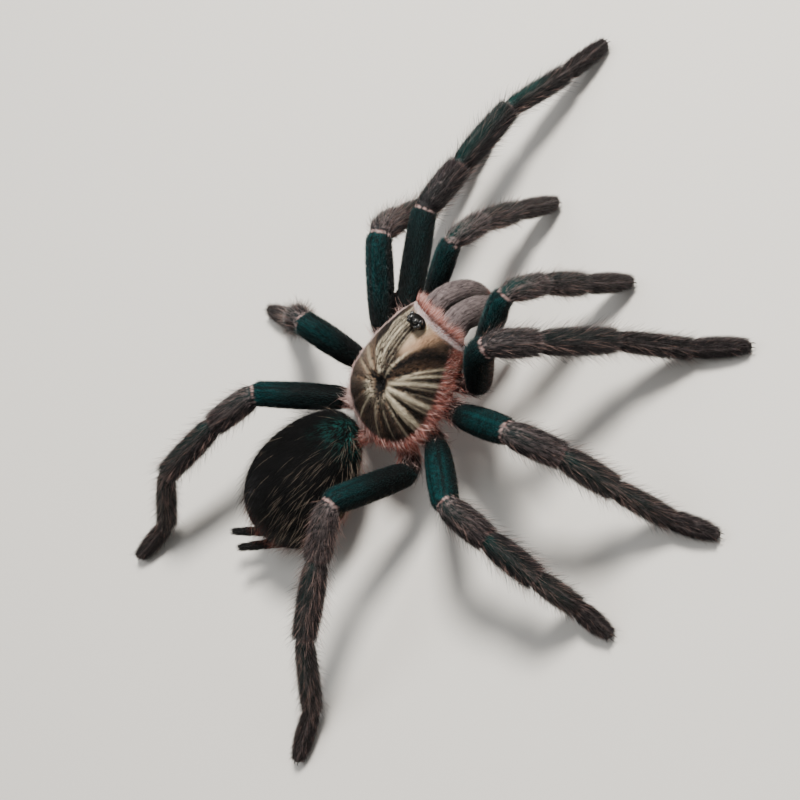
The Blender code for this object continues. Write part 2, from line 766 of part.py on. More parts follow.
def node_tree(others):
    """A search tree over the faces of nodes, as their modifiers leave them."""
    graph = bpy.context.evaluated_depsgraph_get()
    verts = []
    faces = []
    for other in others:
        mesh = other.evaluated_get(graph).to_mesh()
        offset = len(verts)
        verts += [other.matrix_world @ vert.co for vert in mesh.vertices]
        faces += [[offset + i for i in face.vertices] for face in mesh.polygons]
    return BVHTree.FromPolygons(verts, faces)


def grow_locks(planned):
    """Fuses its locks to each node, apart from those that would come within the gap of another node."""
    for piece, roots in planned:
        bpy.context.view_layer.update()
        others = [
            other for other in bpy.context.scene.objects
            if other.type == "MESH" and not other.hide_render and other is not piece
        ]
        tree = node_tree(others)
        place = piece.matrix_world @ Matrix.Scale(MM, 4)
        lean = LOCK_LEAN["abdomen" if piece.name == "abdomen" else "limb"]
        locks = []
        for root in roots:
            room = lock_mesh(root, lean, GAP)
            bmesh.ops.transform(room, matrix=place, verts=room.verts)
            low = min(vert.co.z for vert in room.verts)
            clear = low > 0 and not BVHTree.FromBMesh(room).overlap(tree)
            room.free()
            if clear:
                finish_of = piece.data.materials[0]
                locks.append(add_object("lock", lock_mesh(root, lean), finish_of, piece.parent))
        if locks:
            fuse(piece, locks)


def centre_on_floor(root):
    """Moves the whole spider so that its outer box stands over the origin."""
    bpy.context.view_layer.update()
    lows = [math.inf, math.inf]
    highs = [-math.inf, -math.inf]
    for piece in bpy.context.scene.objects:
        if piece.type != "MESH" or piece.hide_render:
            continue
        for vert in piece.data.vertices:
            spot = piece.matrix_world @ vert.co
            for axis in range(2):
                lows[axis] = min(lows[axis], spot[axis])
                highs[axis] = max(highs[axis], spot[axis])
    root.location.x = -(lows[0] + highs[0]) / 2
    root.location.y = -(lows[1] + highs[1]) / 2


def main():
    for old in list(bpy.data.objects):
        bpy.data.objects.remove(old)
    materials = {
        "coxa": finish("coxa", (0.20, 0.11, 0.10), 0.8),
        "femur": finish("femur", (0.02, 0.05, 0.05), 0.6),
        "patella_tibia": finish("patella_tibia", (0.16, 0.12, 0.12), 0.75),
        "metatarsus_tarsus": finish("metatarsus_tarsus", (0.11, 0.09, 0.09), 0.8),
        "tarsus": finish("tarsus", (0.11, 0.09, 0.09), 0.8),
        "chelicera": finish("chelicera", (0.26, 0.20, 0.19), 0.7),
        "fang": finish("fang", (0.02, 0.015, 0.015), 0.25),
    }
    root = bpy.data.objects.new("spider", None)
    bpy.context.scene.collection.objects.link(root)
    body = bpy.data.objects.new("front_body", None)
    bpy.context.scene.collection.objects.link(body)
    body.parent = root
    place = body_matrix()
    body.location = place.to_translation() * MM
    body.rotation_euler = place.to_euler()
    carapace = add_carapace(finish("carapace", (0.34, 0.24, 0.17), 0.6), body)
    clear = carapace_clearance(body)
    add_eyes(finish("eye_mound", (0.02, 0.02, 0.02), 0.15), body)
    grown = ellipsoid(MOUND_MIDDLE, [half + GAP for half in MOUND_HALF], 8, 16)
    cut_with(carapace, add_cutter("eye_pocket", grown, body))
    add_sternum(finish("sternum", (0.07, 0.04, 0.04), 0.8), body)
    add_jaws(materials, body)
    abdomen = add_abdomen(finish("abdomen", (0.02, 0.02, 0.022), 0.85), body)
    pockets = [add_pedicel(finish("pedicel", (0.22, 0.12, 0.11), 0.8), body)]
    pockets += add_spinnerets(finish("spinneret", (0.02, 0.02, 0.02), 0.8), body)
    draw = random.Random(LOCK_SEED)
    planned = add_legs(materials, root, clear, draw) + add_palps(materials, root, clear, draw)
    grow_locks(planned + [(abdomen, abdomen_roots(draw))])
    for pocket in pockets:
        cut_with(abdomen, pocket)
    centre_on_floor(root)


main()
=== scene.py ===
import math
from functools import partial

import bmesh
import bpy
import numpy as np
from mathutils import Matrix, Quaternion, Vector
from mathutils.bvhtree import BVHTree
from mathutils.kdtree import KDTree


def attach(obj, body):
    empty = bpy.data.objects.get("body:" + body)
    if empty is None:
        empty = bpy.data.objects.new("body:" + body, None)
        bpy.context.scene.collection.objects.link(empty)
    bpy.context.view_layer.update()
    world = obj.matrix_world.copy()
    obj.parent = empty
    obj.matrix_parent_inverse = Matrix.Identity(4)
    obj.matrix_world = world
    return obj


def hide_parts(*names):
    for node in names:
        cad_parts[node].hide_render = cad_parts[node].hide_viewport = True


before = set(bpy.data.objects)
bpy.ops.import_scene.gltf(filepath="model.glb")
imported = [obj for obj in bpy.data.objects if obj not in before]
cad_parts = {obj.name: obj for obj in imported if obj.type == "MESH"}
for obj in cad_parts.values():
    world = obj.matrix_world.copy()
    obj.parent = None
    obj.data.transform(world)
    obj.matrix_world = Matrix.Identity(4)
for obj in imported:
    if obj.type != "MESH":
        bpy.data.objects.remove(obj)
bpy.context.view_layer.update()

mm = 0.001
goldenAngle = math.pi * (3 - math.sqrt(5))
sides = {"left": -1, "right": 1}
draw = np.random.default_rng(23)

# Where the front body stands: over the floor, pitched up and rolled
stance = {"standsAt": (-6.027, -4.209, 14.7), "pitch": 11.4, "roll": 3.6}
bodyPlace = (
    Matrix.Translation(stance["standsAt"])
    @ Matrix.Rotation(math.radians(stance["pitch"]), 4, "X")
    @ Matrix.Rotation(math.radians(-stance["roll"]), 4, "Y")
)

# Colours of the coat, as they look on a screen
tones = {
    "ink": (8, 10, 11), "teal": (14, 92, 94), "deepTeal": (7, 36, 38), "kneeRing": (214, 178, 172),
    "jointRing": (156, 116, 112), "mauve": (62, 52, 55), "paleStripe": (150, 134, 132),
    "umber": (31, 26, 27), "night": (15, 15, 17), "tealSheenLine": (10, 74, 70), "foot": (38, 31, 32),
    "footUnder": (30, 25, 26), "under": (120, 84, 74), "bristle": (176, 142, 132),
    "darkBristle": (22, 18, 19), "haze": (150, 128, 100), "cream": (250, 234, 204), "bark": (28, 21, 19),
    "hazel": (126, 100, 80), "tan": (206, 170, 138), "paleMargin": (240, 208, 200), "rose": (200, 122, 108),
    "redDark": (104, 44, 37), "clypeus": (236, 220, 220), "abdomen": (9, 9, 10), "sheenGrey": (112, 110, 114),
    "longPale": (196, 176, 156), "fleck": (52, 138, 130), "jaw": (156, 141, 140), "jawLine": (48, 38, 40),
    "pit": (7, 6, 6),
}


def linear(tone):
    value = np.array(tone) / 255
    return np.where(value <= 0.04045, value / 12.92, ((value + 0.055) / 1.055) ** 2.4)


tones = {name: linear(tone) for name, tone in tones.items()}


def ramp(low, high, value):
    share = np.clip((value - low) / (high - low), 0, 1)
    return share * share * (3 - 2 * share)


def bump(middle, width, value):
    return np.exp(-(((value - middle) / width) ** 2))


def plain(tone, count):
    return np.tile(tones[tone], (count, 1))


def over(tint, *layers):
    # Lays tones over a tint or a plain tone, each as far as its amount
    if isinstance(tint, str):
        tint = plain(tint, len(layers[0][1]))
    for tone, amount in layers:
        tint = tint + (tones[tone] - tint) * np.clip(amount, 0, 1)[:, None]
    return tint


def wrapped(turn):
    return np.arctan2(np.sin(turn), np.cos(turn))


def joined(*values):
    return np.stack(values, axis=-1)


def chances(count):
    return draw.uniform(0, 1, count)


def unit(vectors):
    return vectors / np.maximum(np.linalg.norm(vectors, axis=-1, keepdims=True), 1e-9)


# The limbs, which follow the same path and sizes as the solids
legs = {
    "segments": ("femur", "patella", "tibia", "metatarsus", "tarsus"),
    "lengths": {
        1: (19.7, 11.2, 15.4, 14.0, 10.6), 2: (20.2, 10.2, 11.7, 11.9, 9.1),
        3: (16.4, 9.4, 10.9, 11.4, 7.8), 4: (18.4, 10.8, 15.6, 17.0, 10.1),
    },
    "radii": ((2.5, 2.9, 2.6), (2.5, 2.75, 2.4), (2.25, 2.55, 2.15), (2.0, 2.15, 1.9), (1.85, 2.0, 1.65)),
    "corners": (2.8, 3.2, 4.0, 3.5, 3.0),
    "coxaRadii": (1.8, 2.45),
    "coxae": {1: (4.0, 6.2, -3.2), 2: (4.9, 2.5, -3.2), 3: (4.9, -1.9, -3.2), 4: (3.9, -5.7, -3.2)},
    "hips": {1: (12.3, 10.8, -3.2), 2: (13.9, 4.8, -2.2), 3: (13.7, -2.6, -1.4), 4: (11.7, -10.3, -2.5)},
    "pose": {
        ("left", 1): ((-29, 14), (-13, -13), (-10, -13), (-1, -28), -2),
        ("left", 2): ((-25, 39), (-53, -53), (-27, -56), (-19, -18), -17),
        ("left", 3): ((-97, 63), (-104, -54), (-105, -51), (-106, -47), -106),
        ("left", 4): ((-136, 31), (-165, -1), (-169, -9), (-174, -48), -170),
        ("right", 1): ((38, 63), (27, -49), (28, -48), (43, -43), 47),
        ("right", 2): ((72, 34), (70, -22), (78, -55), (75, -53), 65),
        ("right", 3): ((109, 26), (86, -19), (85, -21), (91, -67), 85),
        ("right", 4): ((-178, 47), (157, -18), (157, -22), (157, -43), 158),
    },
    # How much of the femur's upper side turns teal, and from which share of its length on: teal hair, with its
    # sheen painted in on the lit upper side
    "teal": {
        ("left", 1): (0.25, 0.6), ("left", 2): (0.8, 0.1), ("left", 3): (0.6, 0.3),
        ("left", 4): (0.95, 0.5), ("right", 1): (0.35, 0.3), ("right", 2): (0.85, 0.0),
        ("right", 3): (0.95, 0.0), ("right", 4): (0.7, 0.4),
    },
    # How many of the hairs past the knee are pale
    "pale": {
        ("left", 1): 0.06, ("left", 2): 0.3, ("left", 3): 0.2, ("left", 4): 0.26,
        ("right", 1): 0.14, ("right", 2): 0.2, ("right", 3): 0.2, ("right", 4): 0.36,
    },
    # How much teal sheen is painted on top of the three segments past the femur, over their teal hair
    "tealSheen": {
        ("left", 1): (0.15, 1.0, 1.0), ("left", 2): (0.2, 0.6, 0.2), ("left", 3): (0.3, 0.5, 0.2),
        ("left", 4): (0.5, 0.9, 0.3), ("right", 1): (0.15, 0.3, 0.0), ("right", 2): (0.35, 0.7, 0.3),
        ("right", 3): (0.4, 0.9, 0.4), ("right", 4): (0.2, 0.9, 0.6),
    },
}
palps = {
    "segments": ("femur", "patella", "tibia", "tarsus"),
    "lengths": (15.4, 8.8, 10.3, 9.8),
    "radii": ((1.9, 2.4, 2.25), (2.15, 2.4, 2.15), (2.05, 2.3, 2.0), (1.9, 2.05, 1.65)),
    "corners": (2.6, 2.8, 3.2, 2.6),
    "coxaRadii": (1.6, 1.9),
    "coxa": (2.9, 9.4, -4.6),
    "hip": (8.5, 14.5, -3.4),
    "pose": {"left": ((3, 37), (-15, -40), (-16, -55), 4), "right": ((4, 38), (10, -46), (11, -62), 23)},
    "teal": (0.75, 0.3),
    "pale": 0.26,
    "tealSheen": (0.8, 0.3),
}
tipHeight = 1.35    # of the last point of each limb's path over the floor
tipRounding = ((0.5, 0.8), (0.8, 0.4))    # how far past the end, and how wide there, in shares of the radius


def wayOf(heading, pitch):
    flat = math.cos(math.radians(pitch))
    turn = math.radians(heading)
    return Vector((math.sin(turn) * flat, math.cos(turn) * flat, math.sin(math.radians(pitch))))


def limbCorners(start, hip, headings, lengths):
    points = [bodyPlace @ Vector(start), bodyPlace @ Vector(hip)]
    for (heading, pitch), length in zip(headings[:-1], lengths):
        points.append(points[-1] + wayOf(heading, pitch) * length)
    pitch = -math.degrees(math.asin((points[-1].z - tipHeight) / lengths[-1]))
    points.append(points[-1] + wayOf(headings[-1], pitch) * lengths[-1])
    return points


def roundedPath(points, radii):
    samples = [points[0]]
    marks = []
    travelled = 0.0
    for before, corner, after, radius in zip(points, points[1:], points[2:], radii):
        arrive = (corner - before).normalized()
        leave = (after - corner).normalized()
        turn = arrive.angle(leave)
        start = corner - arrive * radius * math.tan(turn / 2)
        middle = corner + (leave - arrive).normalized() * radius / math.cos(turn / 2)
        axis = arrive.cross(leave).normalized()
        steps = 2 * max(1, round(turn * radius))
        arc = [middle + Quaternion(axis, turn * i / steps) @ (start - middle) for i in range(steps + 1)]
        bend = sum((b - a).length for a, b in zip(arc, arc[1:]))
        travelled += (start - samples[-1]).length
        marks.append(travelled + bend / 2)
        travelled += bend
        samples += arc
    samples.append(points[-1])
    marks.append(travelled + (samples[-1] - samples[-2]).length)
    return np.array(samples), np.array(marks)


def makeTube(samples, size):
    samples = np.array(samples, dtype=float)
    steps = np.linalg.norm(np.diff(samples, axis=0), axis=1)
    travelled = np.concatenate(([0.0], np.cumsum(steps)))
    return {"samples": samples, "travelled": travelled, "length": travelled[-1], "size": size}


def spotOn(tube, distance):
    past = np.maximum(distance - tube["length"], 0)[..., None]
    before = np.minimum(distance, 0)[..., None]
    travelled, samples = tube["travelled"], tube["samples"]
    spot = joined(*[np.interp(distance, travelled, samples[:, k]) for k in range(3)])
    firstWay = unit(samples[1] - samples[0])
    lastWay = unit(samples[-1] - samples[-2])
    return spot + lastWay * past + firstWay * before


def framesOn(tube, distance, reach=0.35):
    centre = spotOn(tube, distance)
    lie = unit(spotOn(tube, distance + reach) - spotOn(tube, distance - reach))
    across = unit(np.cross(lie, (0.0, 0.0, 1.0)))
    return centre, lie, across, np.cross(across, lie)


# The skin under the coat: how deep it lies, the soft necks where two segments meet, and the feet's points
skin = {
    "depth": 0.35, "neck": 0.22, "neckWidth": 0.6, "spacing": 0.9, "sides": 22, "voxel": 0.42, "smooth": 2,
    "footPoint": 0.36, "footPointFrom": 3.6, "footPointPast": 0.8, "shade": 0.55,
}


def makeLimb(name, kind, points, lengths, marking):
    samples, marks = roundedPath(points, kind["corners"])
    radii = np.array(kind["radii"])

    def size(distance):
        segment = np.searchsorted(marks[1:-1], distance, side="left")
        share = (distance - marks[segment]) / (marks[segment + 1] - marks[segment])
        first, middle, last = radii[segment].T
        radius = (
            first * (1 - share) * (1 - 2 * share) + middle * 4 * share * (1 - share)
            + last * share * (2 * share - 1)
        )
        low, high = kind["coxaRadii"]
        radius = np.where(distance < marks[0], low + (high - low) * distance / marks[0], radius)
        for mark in marks[:-1]:
            radius = radius - skin["neck"] * bump(mark, skin["neckWidth"], distance)
        radius = radius - skin["depth"]
        pointed = ramp(marks[-1] - skin["footPointFrom"], marks[-1] + skin["footPointPast"], distance)
        return radius * (1 - skin["footPoint"] * pointed), radius

    limb = makeTube(samples, size)
    limb.update(name=name, marks=marks, segments=kind["segments"], **marking)
    return limb


limbs = []
for (side, number), headings in legs["pose"].items():
    sign = sides[side]
    start, hip = [(x * sign, y, z) for x, y, z in (legs["coxae"][number], legs["hips"][number])]
    corners = limbCorners(start, hip, headings, legs["lengths"][number])
    name = side + "_leg_" + str(number)
    marking = {key: legs[key][side, number] for key in ("teal", "pale", "tealSheen")}
    limbs.append(makeLimb(name, legs, corners, legs["lengths"][number], marking))
for side, headings in palps["pose"].items():
    start, hip = [(x * sides[side], y, z) for x, y, z in (palps["coxa"], palps["hip"])]
    corners = limbCorners(start, hip, headings, palps["lengths"])
    marking = {key: palps[key] for key in ("teal", "pale", "tealSheen")}
    limbs.append(makeLimb(side + "_palp", palps, corners, palps["lengths"], marking))
print("limbs:", len(limbs))


# The carapace, in the body's frame, with its origin under the pit
carapace = {
    "halfWidth": 11.8, "rear": 9.9, "front": 15.7, "rise": 5.2, "rim": 1.2, "taper": (3.6, 14.0, 1.7),
    "rearRoundness": 2.4, "ridgeRear": (2.2, 0.75), "hump": 0.55, "frontDrop": (0.6, 6),
    "dome": (2.3, 0.62), "farthest": 40.0, "meanReach": 12,
    "grooves": (37.5, 67.5, 90.0, 112.5, 142.5), "grooveWidth": 5.0, "grooveDepth": 0.6, "grooveReach": 1.1,
    "grooveFade": 0.6, "pitDepth": 1.0, "pitRadius": 1.7, "spokes": 120, "rings": 22, "under": -1.2,
}


def marginHalfWidth(y):
    loss, length, power = carapace["taper"]
    behind = np.maximum(0.0, 1 - np.maximum(-y / carapace["rear"], 0) ** carapace["rearRoundness"])
    ahead = carapace["halfWidth"] - loss * (np.maximum(y, 0) / length) ** power
    return np.where(y < 0, carapace["halfWidth"] * np.sqrt(behind), ahead)


# How far the margin lies from the pit in each direction, by halving
marginAngles = np.linspace(-math.pi, math.pi, 1441)
marginNear = np.zeros(len(marginAngles))
marginFar = np.full(len(marginAngles), carapace["farthest"])
for _ in range(40):
    reach = (marginNear + marginFar) / 2
    y = reach * np.cos(marginAngles)
    inside = (y > -carapace["rear"]) & (y < carapace["front"])
    inside &= np.abs(reach * np.sin(marginAngles)) < marginHalfWidth(y)
    marginNear = np.where(inside, reach, marginNear)
    marginFar = np.where(inside, marginFar, reach)


def shieldReach(angle):
    return np.interp(angle, marginAngles, marginNear)


def carapaceSpot(angle, share):
    c = carapace
    angle = wrapped(angle)
    reach = shieldReach(angle) * share
    x, y = reach * np.sin(angle), reach * np.cos(angle)
    ahead = np.clip(y / c["front"], 0, 1)
    ridge = c["rise"] + c["hump"] * np.sin(math.pi * ahead) - c["frontDrop"][0] * ahead ** c["frontDrop"][1]
    behind = np.maximum(0.0, 1 - np.maximum(-y / c["rear"], 0) ** c["ridgeRear"][0]) ** c["ridgeRear"][1]
    ridge = np.where(y < 0, c["rise"] * behind, ridge)
    across = np.minimum(1.0, np.abs(x) / np.maximum(marginHalfWidth(y), 0.01))
    height = c["rim"] + ridge * (1 - across ** c["dome"][0]) ** c["dome"][1]
    away = np.degrees(np.abs(angle))
    depth = sum(bump(middle, c["grooveWidth"], away) for middle in c["grooves"])
    fade = np.sin(math.pi * np.minimum(1.0, share * c["grooveReach"])) ** c["grooveFade"]
    height = height - np.where(share < 1, c["grooveDepth"] * depth * fade, 0)
    height = height - c["pitDepth"] * np.exp(-((reach / c["pitRadius"]) ** 2))
    return joined(x, y, np.maximum(height, c["rim"]))


def turnInBody(vectors, place=bodyPlace):
    return vectors @ np.array(place.to_3x3()).T


def inBody(points, place=bodyPlace):
    return turnInBody(points, place) + np.array(place.to_translation())


# Shapes for the skin and the hard parts, by bmesh operators
def ringPlace(centre, lie, across, above, halfWidth, halfHeight):
    place = Matrix.Identity(4)
    for row in range(3):
        place[row][0] = across[row] * halfWidth
        place[row][1] = above[row] * halfHeight
        place[row][2] = lie[row]
        place[row][3] = centre[row]
    return place


def nextRing(bm, ring):
    made = bmesh.ops.extrude_edge_only(bm, edges=ring)["geom"]
    verts = [part for part in made if isinstance(part, bmesh.types.BMVert)]
    return [part for part in made if isinstance(part, bmesh.types.BMEdge) and part.is_boundary], verts


def sweepTube(bm, tube, distances, ringSides, ends=()):
    centre, lie, across, above = framesOn(tube, distances)
    width, height = tube["size"](distances)
    places = [ringPlace(*ring) for ring in zip(centre, lie, across, above, width, height)]
    for past, size in ends:
        spot = centre[-1] + lie[-1] * width[-1] * past
        places.append(ringPlace(spot, lie[-1], across[-1], above[-1], width[-1] * size, height[-1] * size))
    made = bmesh.ops.create_circle(bm, cap_ends=False, segments=ringSides, radius=1.0)["verts"]
    ring = list({edge for vert in made for edge in vert.link_edges})
    bmesh.ops.transform(bm, matrix=places[0], verts=made)
    openRings = list(ring)
    for before, place in zip(places, places[1:]):
        ring, verts = nextRing(bm, ring)
        bmesh.ops.transform(bm, matrix=place @ before.inverted(), verts=verts)
    bmesh.ops.holes_fill(bm, edges=openRings + ring, sides=0)


def addBall(bm, middle, half, place=Matrix.Identity(4), across=24, rings=16):
    verts = bmesh.ops.create_uvsphere(bm, u_segments=across, v_segments=rings, radius=1.0)["verts"]
    bmesh.ops.scale(bm, vec=half, verts=verts)
    bmesh.ops.translate(bm, vec=middle, verts=verts)
    bmesh.ops.transform(bm, matrix=place, verts=verts)
    return verts


def addObject(name, data):
    made = bpy.data.objects.new(name, data)
    bpy.context.scene.collection.objects.link(made)
    return made


def writePiece(name, bm, material):
    bmesh.ops.recalc_face_normals(bm, faces=bm.faces)
    bmesh.ops.scale(bm, vec=(mm, mm, mm), verts=bm.verts)
    mesh = bpy.data.meshes.new(name)
    bm.to_mesh(mesh)
    bm.free()
    mesh.materials.append(material)
    mesh.shade_smooth()
    return addObject(name, mesh)


# Materials: every coat reads its own tint, a little uneven from spot to spot
def setSockets(node, values):
    for socket, value in values.items():
        node.inputs[socket].default_value = value


def addNode(tree, kind, sockets=None, **values):
    node = tree.nodes.new(kind)
    for key, value in values.items():
        setattr(node, key, value)
    setSockets(node, sockets or {})
    return node


def newFinish(name):
    material = bpy.data.materials.new(name)
    material.use_nodes = True
    tree = material.node_tree
    return material, tree, tree.nodes["Principled BSDF"]


def joinNodes(tree, links):
    for source, output, target, socket in links:
        tree.links.new(source.outputs[output], target.inputs[socket])


def grainedFinish(name, look, noise):
    # One noise moves both the gloss and the relief
    material, tree, shader = newFinish(name)
    smooth, rough = look["roughness"]
    depth = look["reliefDepth"] * mm
    place = addNode(tree, "ShaderNodeTexCoord")
    grain = addNode(tree, "ShaderNodeTexNoise", noise)
    gloss = addNode(tree, "ShaderNodeMapRange", {"To Min": smooth, "To Max": rough})
    relief = addNode(tree, "ShaderNodeBump", {"Strength": look["relief"], "Distance": depth})
    joinNodes(tree, (
        (place, "Object", grain, "Vector"), (grain, "Fac", gloss, "Value"),
        (gloss, "Result", shader, "Roughness"), (grain, "Fac", relief, "Height"),
        (relief, "Normal", shader, "Normal"),
    ))
    return material, tree, shader, place, grain


def coatFinish(name, look):
    material, tree, shader, place, _ = grainedFinish(name, look, {"Scale": look["grainScale"]})
    low, high = 1 - look["uneven"], 1 + look["uneven"]
    tint = addNode(tree, "ShaderNodeAttribute", attribute_name="tint")
    patches = addNode(tree, "ShaderNodeTexNoise", {"Scale": look["patchScale"], "Detail": 3})
    uneven = addNode(tree, "ShaderNodeMapRange", {"To Min": low, "To Max": high})
    shade = addNode(tree, "ShaderNodeVectorMath", operation="SCALE")
    joinNodes(tree, (
        (place, "Object", patches, "Vector"), (patches, "Fac", uneven, "Value"), (tint, "Color", shade, 0),
        (uneven, "Result", shade, "Scale"), (shade, "Vector", shader, "Base Color"),
    ))
    setSockets(shader, {
        "Specular IOR Level": look["specular"], "Sheen Weight": look["sheen"],
        "Sheen Roughness": look["sheenRoughness"], "Sheen Tint": (*look["sheenTint"], 1),
    })
    return material


hairLook = {
    "patchScale": 420, "uneven": 0.22, "roughness": (0.42, 0.62), "grainScale": 2600, "relief": 0.1,
    "reliefDepth": 0.02, "specular": 0.35, "sheen": 0.05, "sheenTint": (0.9, 0.86, 0.84),
    "sheenRoughness": 0.4,
}
looks = {
    "femur_velvet": dict(
        hairLook, sheen=0.16, sheenTint=(0.1, 0.55, 0.55), roughness=(0.4, 0.6), specular=0.22,
    ),
    "leg_hair": hairLook,
    "foot_hair": dict(hairLook, roughness=(0.45, 0.7)),
    "carapace_hair": dict(hairLook, roughness=(0.38, 0.58), uneven=0.26),
    "abdomen_velvet": dict(hairLook, roughness=(0.5, 0.72), specular=0.2, sheen=0.0),
    "chelicera_hair": dict(hairLook, roughness=(0.38, 0.58)),
    "underside": dict(hairLook, roughness=(0.45, 0.7)),
    "skin": dict(
        hairLook, roughness=(0.6, 0.85), relief=0.6, reliefDepth=0.12, grainScale=3800, specular=0.15,
        sheen=0.0,
    ),
}
finishes = {name: coatFinish(name, look) for name, look in looks.items()}


def glossFinish(name, look):
    look = dict(glossLook, **look)
    material, tree, shader, _, cloud = grainedFinish(name, look, {"Scale": look["scale"], "Detail": 4})
    colour = addNode(tree, "ShaderNodeValToRGB")
    for element, spot, tone in zip(colour.color_ramp.elements, look["spots"], look["tones"]):
        element.position = spot
        element.color = (*linear(tone), 1)
    joinNodes(tree, ((cloud, "Fac", colour, "Fac"), (colour, "Color", shader, "Base Color")))
    setSockets(shader, {
        "Specular IOR Level": look["specular"], "Coat Weight": look["coat"],
        "Coat Roughness": look["coatRoughness"],
    })
    return material


glossLook = {"spots": (0.35, 0.7), "relief": 0.15, "reliefDepth": 0.05, "specular": 0.5, "coatRoughness": 0.06}
glossLooks = {
    "eyeLens": {
        "scale": 900, "tones": ((4, 4, 5), (14, 11, 10)), "relief": 0.0, "roughness": (0.12, 0.18), "coat": 1.0,
    },
    "eyeMound": {
        "scale": 1400, "tones": ((3, 3, 3), (9, 8, 8)), "relief": 0.1, "roughness": (0.35, 0.5), "coat": 0.0,
        "specular": 0.12,
    },
    "fang": {"scale": 500, "tones": ((12, 9, 9), (58, 26, 20)), "roughness": (0.12, 0.25), "coat": 0.7},
    "claw": {"scale": 900, "tones": ((14, 12, 12), (40, 30, 28)), "roughness": (0.2, 0.35), "coat": 0.4},
}
glosses = {name: glossFinish(name, look) for name, look in glossLooks.items()}


# The rest of the body, in the body's frame
jaws = {
    "path": (
        (2.95, 14.6, 0.5), (2.95, 16.0, 0.5), (2.9, 18.2, 1.1), (2.8, 20.9, -1.5), (2.7, 21.9, -5.0),
        (2.65, 22.0, -8.2),
    ),
    "half": ((2.75, 3.1), (2.75, 3.1), (2.7, 3.3), (2.6, 3.4), (2.35, 2.9), (1.7, 1.8)),
    "depth": 0.3, "steps": 26, "sides": 26, "ends": ((0.35, 0.85), (0.6, 0.5)),
}
abdomen = {
    "middle": (-5.2, -25.7, 2.1), "half": (11.5, 15.1, 8.9), "yaw": -1.0, "pitch": -1.4, "egg": 0.22,
    "depth": 0.5, "mesh": (56, 36),
}
waist = {
    "path": ((0.0, -8.0, -2.9), (0.0, -8.9, -2.5), (-0.3, -10.6, -1.6), (-1.8, -14.0, 0.4)),
    "radius": 1.25, "depth": 0.2, "steps": 10, "sides": 14, "ends": (),
}
spinnerets = {
    "length": 10.4, "radius": 1.1, "middle": (2.0, 1.45, -2.35), "apart": 1.6, "way": (-0.7, -0.75, 0.3),
    "splay": 0.08,
    "taper": (
        (0.0, 1.0), (0.44, 1.0), (0.5, 0.86), (0.56, 0.96), (0.74, 0.9), (0.79, 0.76), (0.84, 0.84),
        (0.94, 0.76), (1.0, 0.5),
    ),
    "depth": 0.12, "steps": 20, "sides": 14, "ends": ((0.4, 0.8), (0.7, 0.4)),
}
underBody = {
    # middle, half sizes and the tone of the hair
    "balls": (
        ((0.0, 0.3, -2.9), (4.2, 8.0, 2.5), "bark"),      # breast plate
        ((0.0, 1.6, -1.7), (8.2, 9.6, 2.2), "rose"),      # soft flanks under the shield
        ((0.0, 11.4, -1.2), (6.3, 3.9, 2.3), "under"),    # front of the head, behind the jaws
        ((0.0, 9.4, -4.4), (1.7, 1.5, 1.1), "bark"),      # lip between the palps
    ),
}
yaw = Matrix.Rotation(math.radians(abdomen["yaw"]), 4, "Z")
pitch = Matrix.Rotation(math.radians(abdomen["pitch"]), 4, "X")
abdomenPlace = bodyPlace @ Matrix.Translation(abdomen["middle"]) @ (yaw @ pitch)


def pathTube(path, halves):
    points = np.array([bodyPlace @ Vector(point) for point in path])
    tube = makeTube(points, None)
    halves = np.array(halves, dtype=float)

    def size(distance):
        return [np.interp(distance, tube["travelled"], halves[:, k]) for k in range(2)]

    tube["size"] = size
    return tube


def softened(path, halves):
    # Cuts each corner of a path twice, so that a jaw bends in a curve
    rows = np.hstack([np.array(path, dtype=float), np.array(halves, dtype=float)])
    for _ in range(2):
        low = rows[:-1] * 0.75 + rows[1:] * 0.25
        high = rows[:-1] * 0.25 + rows[1:] * 0.75
        middle = np.stack([low, high], axis=1).reshape(-1, rows.shape[1])
        rows = np.vstack([rows[:1], middle, rows[-1:]])
    return rows[:, :3], rows[:, 3:]


jawTubes = []
spinneretTubes = []
for side, sign in sides.items():
    path, halves = softened([(x * sign, y, z) for x, y, z in jaws["path"]], jaws["half"])
    jawTubes.append(pathTube(path, halves - jaws["depth"]))
    across, ahead, up = spinnerets["middle"]
    root = Vector((across + sign * spinnerets["apart"], ahead - abdomen["half"][1], up))
    way = (Vector(spinnerets["way"]) + Vector((sign * spinnerets["splay"], 0, 0))).normalized()
    toBody = bodyPlace.inverted() @ abdomenPlace
    path = [toBody @ (root + way * spinnerets["length"] * share) for share, _ in spinnerets["taper"]]
    radii = [spinnerets["radius"] * size - spinnerets["depth"] for _, size in spinnerets["taper"]]
    spinneretTubes.append(pathTube(path, [(radius, radius) for radius in radii]))
waistTube = pathTube(waist["path"], [(waist["radius"] - waist["depth"],) * 2] * len(waist["path"]))


